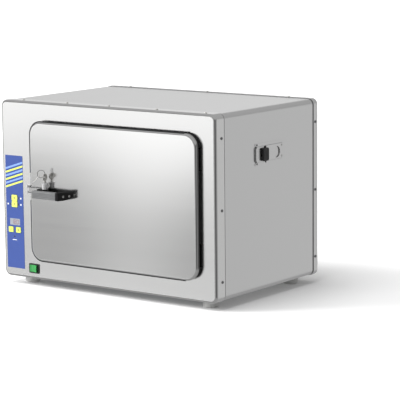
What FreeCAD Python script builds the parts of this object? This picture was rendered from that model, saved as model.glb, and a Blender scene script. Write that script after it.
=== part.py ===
import FreeCAD, Part
import math
import os

os.makedirs("parts", exist_ok=True)

# Bench dry heat sterilizer, millimetres.
# The origin is on the bench, below the middle of the casing. +X is to the right of someone who
# faces the door, -Y points from the door to that person and +Z is up.

# Body
body_w = 600.0
body_d = 396.0
body_h = 405.0
body_corner_r = 15.0
sheet_t = 1.0
fit_gap = 0.1
overrun = 5.0
edge_steps = 2
fastener_sides = 6
pin_sides = 12
tube_sides = 16
round_sides = 24
hole_sides = 4
corner_steps = 3

# Front and back panels
panel_t = 1.2
front_edge_r = 6.0
front_flange = 31.5
front_low_flange = 22.0
back_edge_r = 4.0
back_flange = 18.3

# Casing and base
casing_low_flange = 75.0
base_t = 1.2
base_lip = 8.0
base_margin = 15.0

# Flange screws
screw_r = 1.8
screw_head_r = 3.3
screw_head_h = 1.7
screw_len = 7.0
screw_play = 0.25
side_screw_inset = 22.0
top_screw_inset = 16.0
back_screw_inset = 12.0
side_screw_shares = (0.11, 0.49, 0.87)
top_screw_shares = (0.092, 0.305, 0.503, 0.723, 0.94)
back_screw_shares = (0.12, 0.5, 0.88)

# Feet
foot_h = 17.0
foot_r = 18.0
foot_socket = 10.0
foot_side_inset = 47.0
foot_end_inset = 44.0
foot_screw_r = 2.5
foot_screw_head_r = 5.0
foot_screw_head_h = 3.5

# Door outline on the front panel, from the body's left edge and underside
door_left = 95.0
door_low = 46.0
door_right = 40.0
door_top = 43.0
door_corner_r = 31.0
door_proud = 15.0
door_edge_r = 5.0
door_skin_t = 1.0
door_gap = 7.0

# Chamber, centred behind the door: margins to the door's edges and room behind it
chamber_side = 42.5
chamber_rise = 38.0
chamber_room = 111.0
chamber_t = 1.0
chamber_corner_r = 14.0
chamber_cut = 7.0
chamber_flange = 12.0

# Door plug and gasket
plug_play = 3.0
plug_depth = 10.0
liner_t = 1.0
door_lagging_cut = 20.0
plug_fill_cut = 10.0
gasket_edge = 3.0
gasket_lip = 5.0
gasket_notch = 4.0

# Hinges
hinge_axis_edge = 3.0
hinge_axis_lift = 4.6
hinge_r = 2.8
hinge_pin_r = 1.5
hinge_len = 46.0
hinge_knuckle_gap = 0.4
hinge_leaf_t = 1.5
hinge_leaf_w = 24.0
panel_screw_share = 0.25
door_screw_share = 0.625
panel_screw_rise_share = 0.25
door_screw_rise_share = 0.33
hinge_end = 55.0
hinge_knuckles = 2
hinge_screw_r = 1.6
hinge_screw_head_r = 2.9
hinge_screw_head_h = 1.1
hinge_screw_len = 4.0
hinge_web = 1.0

# Magnetic catches
catch_w = 9.0
catch_h = 34.0
catch_inset = 8.0
catch_gap = 0.3
catch_rise_shares = (0.2, 0.8)

# Handle, from the body's left edge, underside and front plane
grip_left = 130.0
grip_len = 69.0
grip_low = 195.0
grip_h = 17.0
grip_front = 50.0
grip_t = 13.0
grip_round = 3.0
grip_groove = 1.0
grip_groove_shares = (0.3, 0.5, 0.7)
grip_tongue = 6.0
grip_tongue_play = 0.3
grip_wall = 3.25
leg_face = 7.0
leg_len = 25.0
leg_foot_y = 19.0
leg_wall = 4.0
leg_reach = 30.0
leg_grow = 0.4
leg_screw_r = 2.6
leg_screw_h = 1.2
leg_screw_shares = (0.42, 0.86)
lock_leg_inset = 4.0
lock_leg_w = 16.0
lock_leg_rise = 2.0
lock_inset = 20.0
lock_y = 26.5
lock_boss_r = 9.0
lock_r = 7.3
lock_h = 14.0
plug_r = 5.0
plug_top = 0.8
plug_run = 0.05
lock_floor = 3.0

# Bolt and keeper
bolt_h = 7.0
bolt_t = 3.0
bolt_y = 19.0
bolt_rest = 4.0
bolt_play = 0.4
bolt_low = 205.0
sleeve_t = 1.2
sleeve_inset = 2.5
keeper_gap = 1.5
keeper_w = 14.0
keeper_t = 1.5
keeper_h = 18.0

# Key, ring and second key: the ring's plane is turned by ring_turn from the front
key_t = 1.4
key_bow_r = 8.0
key_bow_rise = 6.1
key_bow_gap = 6.0
key_blade_w = 6.0
key_blade_in = 9.0
key_hole_r = 2.75
key_hole_out = 4.2
key_hole_lean = 70.0
spare_blade = 20.0
ring_r = 8.5
ring_wire = 1.3
ring_sides = 18
bow_sides = 16
ring_turn = 36.3
ring_rise = 50.0
spare_angle = -45.0
spare_side = 45.0
spare_hang = 1.6

# Control film on the front panel
film_left = 10.0
film_w = 51.5
film_low = 19.8
film_top = 279.0
film_t = 0.4

# Keys of the control panel: left edge, underside, width, height
pad_proud = 1.0
pad_travel = 0.5
pad_play = 0.3
pad_cut = 1.2
pad_flange = 1.2
pad_flange_t = 1.0
pad_seat = 0.1
upper_pad = (26.8, 174.6, 16.8, 13.9)
lower_pad = (26.8, 160.2, 16.8, 13.9)
minus_pad = (15.8, 102.0, 14.2, 12.8)
plus_pad = (38.0, 102.0, 14.2, 12.8)

# Display and indicator windows: left edge, underside, width, height
display_window_place = (20.0, 119.0, 30.0, 15.0)
display_lens_t = 2.2
display_wall = 1.0
led_places = (
    (22.3, 178.5, 2.6, 5.6),
    (22.3, 164.0, 2.6, 5.6),
    (45.6, 178.5, 2.6, 5.6),
    (45.6, 164.0, 2.6, 5.6),
    (31.0, 91.0, 4.0, 3.0),
)
led_step = 0.6

# Control board
board_t = 1.6
board_back = 14.0
board_left = 13.0
board_w = 45.0
board_low = 84.0
board_h = 112.0
board_post_r = 3.0
board_post_inset = 3.5
tact_size = 6.0
tact_pin_r = 1.6
tact_pin_h = 1.0
tact_gap = 0.2

# Power switch
switch_left = 75.5
switch_low = 13.0
switch_w = 29.5
switch_h = 22.0
switch_bezel_t = 2.2
switch_bezel_cut = 1.1
switch_bezel_wall = 2.6
switch_body_wall = 1.4
switch_depth = 24.0
switch_throat = 9.0
switch_tabs = 3
switch_tab_w = 4.8
switch_tab_t = 0.8
switch_tab_h = 8.0
rocker_play = 0.35
rocker_tilt = 7.0
rocker_crest = 2.6
rocker_back = 3.0
rocker_axle_r = 1.5
rocker_run = 0.06

# Vent on the right side: its line, then lengths before and behind it, below and above it
vent_share = 0.571
vent_drop = 103.0
vent_r = 12.5
vent_tube_t = 1.0
vent_tube_play = 0.3
guide_before = 79.0
guide_behind = 26.4
guide_below = 22.4
guide_above = 24.6
guide_t = 1.0
guide_rise = 2.4
guide_brim = 7.0
guide_relief = 2.6
rivet_inset = 6.4
stop_inset = 6.8
stop_rise_shares = (0.253, 0.757)
rivet_r = 1.5
rivet_head_r = 2.4
rivet_head_h = 0.9
shutter_before = 58.0
shutter_behind = 9.0
shutter_h = 29.0
shutter_t = 0.8
shutter_play = 0.3
shutter_travel = 15.0
shutter_close = 4.0
knob_before = 45.0
knob_w = 28.0
knob_h = 28.5
knob_t = 11.0
knob_r = 4.0
rib_t = 3.0
rib_h = 36.7
rib_rise = 2.0
stem_w = 5.0
stem_h = 6.0

# Insulation, supports, bulkhead
heater_t = 4.0
heater_gap = 0.2
heater_margin = 24.0
heater_clip = 3.0
heater_zone = 10.0
heater_lead_r = 2.2
heater_lead_pitch = 60.0
heater_end = 66.0
heater_clear = 0.6
bush_r = 6.0
bush_len = 12.0
lagging_side = 44.0
lagging_top = 38.0
lagging_back = 46.0
lagging_play = 0.4
lagging_front = 3.0
lagging_cut = 12.0
rail_w = 40.0
rail_t = 1.5
rail_brim = 14.0
rail_end = 26.0
rail_shares = (0.2, 0.8)
bulkhead_gap = 11.0
bulkhead_t = 1.2
bulkhead_foot = 12.0
bulkhead_drop = 20.0
bulkhead_margin = 30.0

# Racks and trays in the chamber
rack_t = 1.2
rack_play = 0.3
rack_ledge = 12.0
rack_levels = 4
rack_first = 26.0
rack_head = 58.0
rack_margin = 10.0
rack_end = 8.0
tray_levels = (0, 2)
tray_play = 2.0
tray_h = 18.0
tray_t = 0.8
tray_corner_r = 14.0
tray_front = 28.0
tray_back_gap = 1.5
tray_seat = 0.1

# Probe and safety thermostat
probe_r = 2.5
probe_reach = 60.0
probe_tail = 14.0
probe_nut_r = 7.0
probe_nut_h = 5.0
probe_share = 0.38
probe_drop = 115.0
cutout_r = 2.0
cutout_share = 0.53
cutout_drop = 155.0
cutout_body_r = 16.0
cutout_body_h = 22.0
cutout_neck_r = 5.0

# Power board
power_board_w = 90.0
power_board_h = 120.0
power_board_t = 1.6
power_board_back = 196.0
power_board_z = 90.0
power_post_r = 3.0
power_post_h = 8.0
power_post_inset = 5.0
relay_l = 30.0
relay_w = 25.0
relay_h = 20.0
transformer_l = 42.0
transformer_w = 36.0
transformer_h = 32.0
power_part_gap = 8.0

# Mains inlet in the back panel, from the body's left edge and underside
inlet_x = 44.0
inlet_z = 52.0
inlet_w = 28.0
inlet_h = 32.0
inlet_flange_w = 50.0
inlet_flange_t = 2.0
inlet_depth = 22.0
inlet_hole_w = 24.0
inlet_hole_h = 16.5
inlet_hole_d = 16.0
inlet_corner = 5.0
inlet_pin_w = 4.0
inlet_pin_t = 2.0
inlet_pin_len = 13.0
inlet_pin_pitch = 7.0
inlet_pin_drop = 1.5
inlet_pin_rise = 2.5
inlet_screw_pitch = 40.0
inlet_screw_r = 1.6

# Cooling slots in the back panel
slot_w = 4.0
slot_len = 44.0
slot_count = 6
slot_pitch = 14.0
slot_z = 150.0

V = FreeCAD.Vector

door_w = body_w - door_left - door_right
door_h = body_h - door_low - door_top
chamber_w = door_w - 2 * chamber_side
chamber_h = door_h - 2 * chamber_rise
chamber_d = body_d - chamber_room
rack_pitch = (chamber_h - rack_first - rack_head) / (rack_levels - 1)
vent_y = vent_share * body_d
vent_z = body_h - vent_drop
knob_y = vent_y - knob_before
bulkhead_x = door_left - bulkhead_gap
left_x = -body_w / 2
right_x = body_w / 2
front_y = -body_d / 2
back_y = body_d / 2
low_z = foot_h
top_z = foot_h + body_h

casing_in = panel_t + fit_gap
casing_low_z = low_z + casing_in
casing_floor_z = casing_low_z + sheet_t
base_top_z = casing_floor_z + base_t
casing_right_x = right_x - casing_in

door_x0 = left_x + door_left
door_x1 = door_x0 + door_w
door_z0 = low_z + door_low
door_z1 = door_z0 + door_h
door_face_y = front_y - door_proud
door_rim_y = front_y - door_gap
mouth_x = (door_x0 + door_x1) / 2
mouth_z = (door_z0 + door_z1) / 2
chamber_x0 = mouth_x - chamber_w / 2
chamber_x1 = mouth_x + chamber_w / 2
chamber_z0 = mouth_z - chamber_h / 2
chamber_z1 = mouth_z + chamber_h / 2
chamber_front_y = front_y + panel_t
chamber_back_y = chamber_front_y + chamber_d
hinge_x = door_x1 - hinge_axis_edge
hinge_y = front_y - hinge_axis_lift


def box(x0, x1, y0, y1, z0, z1):
    corner = V(min(x0, x1), min(y0, y1), min(z0, z1))
    return Part.makeBox(abs(x1 - x0), abs(y1 - y0), abs(z1 - z0), corner)


def rod(radius, start, direction, length):
    return Part.makeCylinder(radius, length, start, direction)


def point(axis, level, a, b):
    """Point with the given value along one axis; a and b are the other two in X, Y, Z order."""
    if axis == 0:
        return V(level, a, b)
    if axis == 1:
        return V(a, level, b)
    return V(a, b, level)


def outline(axis, level, a0, a1, b0, b1, corner_r):
    """Rounded rectangle across an axis."""
    k = corner_r * (1 - math.sqrt(0.5))
    r = corner_r

    def at(a, b):
        return point(axis, level, a, b)

    edges = [
        Part.LineSegment(at(a0 + r, b0), at(a1 - r, b0)).toShape(),
        Part.Arc(at(a1 - r, b0), at(a1 - k, b0 + k), at(a1, b0 + r)).toShape(),
        Part.LineSegment(at(a1, b0 + r), at(a1, b1 - r)).toShape(),
        Part.Arc(at(a1, b1 - r), at(a1 - k, b1 - k), at(a1 - r, b1)).toShape(),
        Part.LineSegment(at(a1 - r, b1), at(a0 + r, b1)).toShape(),
        Part.Arc(at(a0 + r, b1), at(a0 + k, b1 - k), at(a0, b1 - r)).toShape(),
        Part.LineSegment(at(a0, b1 - r), at(a0, b0 + r)).toShape(),
        Part.Arc(at(a0, b0 + r), at(a0 + k, b0 + k), at(a0 + r, b0)).toShape(),
    ]
    return Part.Wire(edges)


def plate(axis, start, end, a0, a1, b0, b1, corner_r):
    """Rounded rectangular plate between two levels of an axis."""
    face = Part.Face(outline(axis, start, a0, a1, b0, b1, corner_r))
    return face.extrude(point(axis, end - start, 0, 0))


def slab(x0, x1, y0, y1, z0, z1, corner_r):
    """Plate in the X-Z plane with rounded corners."""
    return plate(1, y0, y1, x0, x1, z0, z1, corner_r)


def soft_plate(axis, start, end, a0, a1, b0, b1, corner_r):
    """Plate whose corners turn in a few flats."""
    r = corner_r
    centres = [(a1 - r, b0 + r), (a1 - r, b1 - r), (a0 + r, b1 - r), (a0 + r, b0 + r)]
    points = []
    for number, (a, b) in enumerate(centres):
        for step in range(corner_steps + 1):
            angle = math.pi / 2 * (number - 1 + step / corner_steps)
            points.append((a + r * math.cos(angle), b + r * math.sin(angle)))
    return prism(points, axis, start, end - start)


def dish(axis, face, rim, a0, a1, b0, b1, corner_r, edge_r, steps):
    """Rounded block whose edge round its face turns in the given number of flats."""
    turn = 1 if rim > face else -1
    sections = []
    for step in range(steps + 1):
        angle = math.pi / 2 * step / steps
        inset = edge_r * (1 - math.sin(angle))
        level = face + turn * edge_r * (1 - math.cos(angle))
        sides = (a0 + inset, a1 - inset, b0 + inset, b1 - inset)
        sections.append(outline(axis, level, *sides, corner_r - inset))
    crown = Part.makeLoft(sections, True, True)
    skirt = plate(axis, face + turn * edge_r, rim, a0, a1, b0, b1, corner_r)
    return crown.fuse(skirt).removeSplitter()


def pan(axis, face, rim, a0, a1, b0, b1, corner_r, edge_r, wall, steps):
    """Sheet pan: a face with a flange all round, open at its rim; its inside edge is one flat."""
    turn = 1 if rim > face else -1
    outer = dish(axis, face, rim, a0, a1, b0, b1, corner_r, edge_r, steps)
    inner = dish(
        axis, face + turn * wall, rim + turn * overrun, a0 + wall, a1 - wall, b0 + wall, b1 - wall,
        corner_r - wall, edge_r - wall, 1,
    )
    return outer.cut(inner)


def cut_corner_block(x0, x1, y0, y1, z0, z1, cut):
    """Block in the X-Z plane with its four corners cut off."""
    points = [
        (x0 + cut, z0), (x1 - cut, z0), (x1, z0 + cut), (x1, z1 - cut),
        (x1 - cut, z1), (x0 + cut, z1), (x0, z1 - cut), (x0, z0 + cut),
    ]
    return prism(points, 1, y0, y1 - y0)


def peg(radius, start, direction, length, sides=fastener_sides):
    """Straight prism with a regular many-sided outline, for round things."""
    corners = []
    for number in range(sides):
        angle = 2 * math.pi * number / sides
        corners.append(V(radius * math.cos(angle), radius * math.sin(angle), 0))
    solid = Part.Face(Part.makePolygon(corners + corners[:1])).extrude(V(0, 0, length))
    solid.Placement = FreeCAD.Placement(start, FreeCAD.Rotation(V(0, 0, 1), direction))
    return solid


def prism(points, axis, start, length):
    """Solid of a closed outline that lies across the axis at the start value."""
    corners = [point(axis, start, a, b) for a, b in points]
    return Part.Face(Part.makePolygon(corners + corners[:1])).extrude(point(axis, length, 0, 0))


def fused(pieces):
    shape = pieces[0]
    for piece in pieces[1:]:
        shape = shape.fuse(piece)
    return shape.removeSplitter()


def without(shape, cutters):
    for cutter in cutters:
        shape = shape.cut(cutter)
    return shape


def screw(seat, inward, radius, length, head_r, head_h):
    """Plain screw; its seat is on the sheet and inward points into it."""
    head = peg(head_r, seat, inward * -1, head_h)
    shank = peg(radius, seat.sub(inward * head_h / 2), inward, length + head_h / 2, hole_sides)
    return fused([head, shank])


def shank_hole(radius, start, direction, length):
    """Hole that clears a screw's shank on all sides."""
    return peg(radius / math.cos(math.pi / fastener_sides) + fit_gap, start, direction, length)


def write(name, pieces):
    shape = pieces[0] if len(pieces) == 1 else Part.makeCompound(pieces)
    shape.exportStep("parts/" + name + ".step")


def place(record):
    """Corners of a thing on the front panel: x0, x1, z0, z1."""
    x0 = left_x + record[0]
    z0 = low_z + record[1]
    return x0, x0 + record[2], z0, z0 + record[3]


def front_window(record, grow, depth):
    """Cutter through the front panel, or through the film on it, for a thing on the panel."""
    x0, x1, z0, z1 = place(record)
    y0 = front_y - film_t - overrun
    return box(x0 - grow, x1 + grow, y0, front_y + depth, z0 - grow, z1 + grow)


# Flange screws

def front_screw_seats():
    seats = []
    for share in side_screw_shares:
        z = low_z + share * body_h
        y = front_y + side_screw_inset
        seats.append((V(left_x, y, z), V(1, 0, 0)))
        seats.append((V(right_x, y, z), V(-1, 0, 0)))
    for share in top_screw_shares:
        x = left_x + share * body_w
        seats.append((V(x, front_y + top_screw_inset, top_z), V(0, 0, -1)))
    return seats


def back_screw_seats():
    seats = []
    for share in side_screw_shares:
        z = low_z + share * body_h
        y = back_y - back_screw_inset
        seats.append((V(left_x, y, z), V(1, 0, 0)))
        seats.append((V(right_x, y, z), V(-1, 0, 0)))
    for share in back_screw_shares:
        x = left_x + share * body_w
        seats.append((V(x, back_y - back_screw_inset, top_z), V(0, 0, -1)))
    return seats


def screw_holes(seats):
    radius = (screw_r + screw_play) * math.sqrt(2)
    return [
        peg(radius, seat.sub(inward * overrun), inward, screw_len + 2 * overrun, hole_sides)
        for seat, inward in seats
    ]


def flange_screws(seats):
    return [
        screw(seat, inward, screw_r, screw_len, screw_head_r, screw_head_h)
        for seat, inward in seats
    ]


# Casing

def foot_centres():
    x = body_w / 2 - foot_side_inset
    y = body_d / 2 - foot_end_inset
    return [(-x, -y), (x, -y), (-x, y), (x, y)]


def foot_bores(radius):
    length = foot_socket + sheet_t + base_t + overrun
    return [
        peg(radius, V(x, y, casing_low_z - foot_socket), V(0, 0, 1), length, hole_sides)
        for x, y in foot_centres()
    ]


def tube_bore(radius, x0, x1, sides=tube_sides):
    """Round thing or cutter on the vent's line."""
    y = front_y + vent_y
    return peg(radius, V(x0, y, low_z + vent_z), V(1, 0, 0), x1 - x0, sides)


def casing_wrap():
    y0 = front_y + front_edge_r + fit_gap
    y1 = back_y - back_edge_r - fit_gap
    x1 = casing_right_x
    z1 = top_z - casing_in
    outer_r = body_corner_r - casing_in
    outer = slab(-x1, x1, y0, y1, casing_low_z, z1, outer_r)
    inner = slab(
        -x1 + sheet_t,
        x1 - sheet_t,
        y0 - overrun,
        y1 + overrun,
        casing_low_z + sheet_t,
        z1 - sheet_t,
        outer_r - sheet_t,
    )
    gap_x = x1 - casing_low_flange
    gap = box(-gap_x, gap_x, y0 - overrun, y1 + overrun, low_z - overrun, base_top_z)
    cutters = [inner, gap, tube_bore(vent_r, x1 - overrun, x1 + overrun)]
    cutters += screw_holes(front_screw_seats()) + screw_holes(back_screw_seats())
    cutters += foot_bores(foot_screw_r + screw_play)
    return without(outer, cutters)


def base_plate():
    x1 = casing_right_x - body_corner_r
    y0 = front_y + base_margin
    y1 = back_y - base_margin
    floor = box(-x1, x1, y0, y1, casing_floor_z, base_top_z)
    lips = [
        box(-x1, x1, y0, y0 + base_t, casing_floor_z, base_top_z + base_lip),
        box(-x1, x1, y1 - base_t, y1, casing_floor_z, base_top_z + base_lip),
    ]
    floor = fused([floor] + lips)
    slots = []
    for step in range(slot_count):
        y = step * slot_pitch - (slot_count - 1) * slot_pitch / 2
        x0 = left_x + bulkhead_x / 2
        slots.append(box(
            x0, x0 + slot_len / 2, y, y + slot_w, casing_floor_z - overrun, base_top_z + overrun,
        ))
    return without(floor, foot_bores(foot_screw_r + screw_play) + slots)


def front_panel():
    body = pan(
        1, front_y, front_y + front_flange, left_x, right_x, low_z, top_z,
        body_corner_r, front_edge_r, panel_t, edge_steps,
    )
    trim_x = right_x - body_corner_r
    trim = box(
        -trim_x, trim_x, front_y + front_low_flange, front_y + front_flange + overrun,
        low_z - overrun, low_z + casing_in,
    )
    mouth = soft_plate(
        1, front_y - overrun, front_y + overrun, chamber_x0, chamber_x1,
        chamber_z0, chamber_z1, chamber_corner_r,
    )
    windows = [front_window(pad, pad_play, overrun) for pad in pads().values()]
    windows += [front_window(record, fit_gap, overrun) for record in led_places]
    windows.append(front_window(display_window_place, fit_gap, overrun))
    windows.append(switch_cutout())
    windows += [hinge_screw_hole(seat) for seat in panel_leaf_screw_seats()]
    return without(body, [trim, mouth] + windows + screw_holes(front_screw_seats()))


def back_panel():
    body = pan(
        1, back_y, back_y - back_flange, left_x, right_x, low_z, top_z,
        body_corner_r, back_edge_r, panel_t, 1,
    )
    slots = []
    for row in range(slot_count):
        z = low_z + slot_z + row * slot_pitch
        x0 = left_x + inlet_x - slot_len / 2
        slots.append(box(x0, x0 + slot_len, back_y - overrun, back_y + overrun, z, z + slot_w))
    cutters = [inlet_cutout()] + slots + inlet_screw_holes() + screw_holes(back_screw_seats())
    return without(body, cutters)


def feet():
    up = V(0, 0, 1)
    pieces = [peg(foot_r, V(x, y, 0), up, casing_low_z, round_sides) for x, y in foot_centres()]
    return [foot.cut(bore) for foot, bore in zip(pieces, foot_bores(foot_screw_r + fit_gap))]


def foot_screws():
    """Screws from inside the casing into the feet."""
    length = foot_socket - fit_gap + sheet_t + base_t
    down = V(0, 0, -1)
    head = (foot_screw_head_r, foot_screw_head_h)
    return [
        screw(V(x, y, base_top_z), down, foot_screw_r, length, *head)
        for x, y in foot_centres()
    ]


# Chamber and what it holds

def chamber():
    outer = cut_corner_block(
        chamber_x0 - chamber_t, chamber_x1 + chamber_t, chamber_front_y, chamber_back_y + chamber_t,
        chamber_z0 - chamber_t, chamber_z1 + chamber_t, chamber_cut,
    )
    brim = chamber_flange + chamber_t
    flange = cut_corner_block(
        chamber_x0 - brim, chamber_x1 + brim, chamber_front_y, chamber_front_y + chamber_t,
        chamber_z0 - brim, chamber_z1 + brim, chamber_corner_r,
    )
    inner = soft_plate(
        1, chamber_front_y - overrun, chamber_back_y, chamber_x0, chamber_x1,
        chamber_z0, chamber_z1, chamber_corner_r,
    )
    cutters = [
        inner,
        tube_bore(vent_r, chamber_x1 - overrun, chamber_x1 + chamber_t + overrun),
        probe_bore(probe_r + fit_gap, chamber_x0 - chamber_t - overrun, chamber_x0 + overrun),
    ]
    return without(outer.fuse(flange), cutters)


def rack_level_z(level):
    return chamber_z0 + rack_first + level * rack_pitch


def rack(side):
    """Side rack: a plate against the chamber wall with a ledge for each level."""
    wall_x = chamber_x0 if side < 0 else chamber_x1
    face_x = wall_x - side * rack_play
    inner_x = face_x - side * rack_t
    ledge_x = inner_x - side * rack_ledge
    y0 = chamber_front_y + plug_depth + rack_margin
    y1 = chamber_back_y - rack_end
    z0 = chamber_z0 + chamber_corner_r
    z1 = chamber_z1 - chamber_corner_r
    pieces = [box(face_x, inner_x, y0, y1, z0, z1)]
    for level in range(rack_levels):
        z = rack_level_z(level)
        pieces.append(box(inner_x, ledge_x, y0, y1, z - rack_t, z))
    shape = fused(pieces)
    if side > 0:
        return shape.cut(tube_bore(vent_r, inner_x - overrun, wall_x + overrun))
    return shape.cut(probe_bore(probe_r + fit_gap, wall_x - overrun, inner_x + overrun))


def tray(level):
    """Drawn tray that rests on the ledges of one level."""
    x0 = chamber_x0 + rack_play + rack_t + tray_play
    x1 = chamber_x1 - rack_play - rack_t - tray_play
    y0 = chamber_front_y + tray_front
    y1 = chamber_back_y - tray_back_gap
    z0 = rack_level_z(level) + tray_seat
    block = soft_plate(2, z0, z0 + tray_h, x0, x1, y0, y1, tray_corner_r)
    t = tray_t
    inside = (x0 + t, x1 - t, y0 + t, y1 - t)
    return block.cut(soft_plate(2, z0 + t, z0 + tray_h + overrun, *inside, tray_corner_r - t))


# Heating elements and insulation

def heater_z(side):
    offset = chamber_t + heater_gap + heater_t / 2
    return chamber_z1 + offset if side > 0 else chamber_z0 - offset


def heater_lead_ys():
    middle = (chamber_front_y + chamber_back_y) / 2
    return [middle - heater_lead_pitch / 2, middle + heater_lead_pitch / 2]


def heater(side):
    """Flat element against the chamber with two stiff leads to the left."""
    z = heater_z(side)
    half = heater_t / 2
    y0 = chamber_front_y + heater_margin
    y1 = chamber_back_y - heater_margin
    x0 = chamber_x0 + heater_margin
    x1 = chamber_x1 - heater_margin
    cut = heater_margin
    corners = [
        (x0 + cut, y0), (x1 - cut, y0), (x1, y0 + cut), (x1, y1 - cut),
        (x1 - cut, y1), (x0 + cut, y1), (x0, y1 - cut), (x0, y0 + cut),
    ]
    element = prism(corners, 2, z - half, heater_t)
    start_x = left_x + heater_end
    leads = [
        peg(heater_lead_r, V(start_x, y, z), V(1, 0, 0), x0 + overrun - start_x)
        for y in heater_lead_ys()
    ]
    return fused([element] + leads)


def heater_clamps():
    """Bars across the elements, one on each side of the chamber, between element and insulation."""
    clamps = []
    y = (chamber_front_y + chamber_back_y) / 2
    x0, x1, y0, y1, z0, z1 = lagging_cavity_box()
    for side in (-1, 1):
        face = heater_z(side) + side * heater_t / 2
        wall = z1 if side > 0 else z0
        clamps.append(box(
            mouth_x - rail_w, mouth_x + rail_w, y - heater_clip, y + heater_clip, face, wall,
        ))
    return clamps


def heater_exits(radius, x0, x1):
    cutters = []
    for side in (-1, 1):
        for y in heater_lead_ys():
            cutters.append(peg(radius, V(x0, y, heater_z(side)), V(1, 0, 0), x1 - x0))
    return cutters


def heater_bushes():
    x0 = left_x + bulkhead_x - bush_len / 2
    bushes = heater_exits(bush_r, x0, x0 + bush_len)
    bores = heater_exits(heater_lead_r + fit_gap, x0 - overrun, x0 + bush_len + overrun)
    return [bush.cut(bore) for bush, bore in zip(bushes, bores)]


def lagging_box():
    """Outer faces of the insulation block: x0, x1, y0, y1, z0, z1."""
    inner = lagging_cavity_box()
    return (
        inner[0] - lagging_side,
        inner[1] + lagging_side,
        inner[2],
        inner[3] + lagging_back,
        inner[4] - lagging_top,
        inner[5] + lagging_top,
    )


def lagging_cavity_box():
    edge = chamber_t + lagging_play
    high = chamber_t + heater_zone
    y0 = chamber_front_y + chamber_t + lagging_front
    return (
        chamber_x0 - edge,
        chamber_x1 + edge,
        y0,
        chamber_back_y + edge,
        chamber_z0 - high,
        chamber_z1 + high,
    )


def insulation():
    x0, x1, y0, y1, z0, z1 = lagging_box()
    outer = cut_corner_block(x0, x1, y0, y1, z0, z1, lagging_cut)
    x0, x1, y0, y1, z0, z1 = lagging_cavity_box()
    cavity = box(x0, x1, y0 - overrun, y1, z0, z1)
    tube_r = vent_r + vent_tube_play
    cutters = [cavity, tube_bore(tube_r, x1 - overrun, x1 + lagging_side + overrun)]
    reach = lagging_side + overrun
    cutters += heater_exits(heater_lead_r + heater_clear, x0 - reach, x0 + overrun)
    cutters.append(probe_bore(probe_nut_r + heater_clear, x0 - reach, x0 + overrun))
    cutters.append(cutout_bore(cutout_r + heater_clear, x0 - reach, x0 + overrun))
    return without(outer, cutters)


def support_rails():
    """Hat-section rails that carry the insulated chamber on the base plate."""
    x0, x1, y0, y1, z0, z1 = lagging_box()
    rails = []
    for share in rail_shares:
        y = y0 + share * (y1 - y0)
        half = rail_w / 2
        profile = [
            (y - half - rail_brim, base_top_z),
            (y - half + rail_t, base_top_z),
            (y - half + rail_t, z0 - rail_t),
            (y + half - rail_t, z0 - rail_t),
            (y + half - rail_t, base_top_z),
            (y + half + rail_brim, base_top_z),
            (y + half + rail_brim, base_top_z + rail_t),
            (y + half, base_top_z + rail_t),
            (y + half, z0),
            (y - half, z0),
            (y - half, base_top_z + rail_t),
            (y - half - rail_brim, base_top_z + rail_t),
        ]
        rails.append(prism(profile, 0, x0 + rail_end, x1 - x0 - 2 * rail_end))
    return rails


def bulkhead():
    x = left_x + bulkhead_x
    y0 = front_y + bulkhead_margin
    y1 = back_y - bulkhead_margin
    z1 = top_z - bulkhead_drop
    wall = box(x, x + bulkhead_t, y0, y1, base_top_z, z1)
    foot = box(x - bulkhead_foot, x + bulkhead_t, y0, y1, base_top_z, base_top_z + bulkhead_t)
    cutters = heater_exits(bush_r + fit_gap, x - overrun, x + bulkhead_t + overrun)
    cutters.append(probe_bore(probe_nut_r, x - overrun, x + bulkhead_t + overrun))
    cutters.append(cutout_bore(cutout_neck_r + fit_gap, x - overrun, x + bulkhead_t + overrun))
    return without(fused([wall, foot]), cutters)


# Probe, thermostat and vent tube

def probe_bore(radius, x0, x1):
    y = front_y + probe_share * body_d
    return peg(radius, V(x0, y, top_z - probe_drop), V(1, 0, 0), x1 - x0)


def cutout_bore(radius, x0, x1):
    y = front_y + cutout_share * body_d
    return peg(radius, V(x0, y, top_z - cutout_drop), V(1, 0, 0), x1 - x0)


def temperature_probe():
    x0 = left_x + bulkhead_x - probe_tail
    stem = probe_bore(probe_r, x0, chamber_x0 + probe_reach)
    nut_x = chamber_x0 - chamber_t
    nut = probe_bore(probe_nut_r, nut_x - probe_nut_h, nut_x)
    return fused([stem, nut])


def safety_thermostat():
    x = left_x + bulkhead_x
    body = cutout_bore(cutout_body_r, x - cutout_body_h, x)
    neck = cutout_bore(cutout_neck_r, x - overrun, x + bulkhead_t)
    bulb = cutout_bore(cutout_r, x, chamber_x0 - chamber_t - fit_gap)
    return fused([body, neck, bulb])


def vent_tube():
    x0 = chamber_x1 + chamber_t
    x1 = casing_right_x - sheet_t
    return tube_bore(vent_r, x0, x1).cut(tube_bore(vent_r - vent_tube_t, x0 - overrun, x1 + overrun))


# Vent guide, shutter and knob

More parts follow.
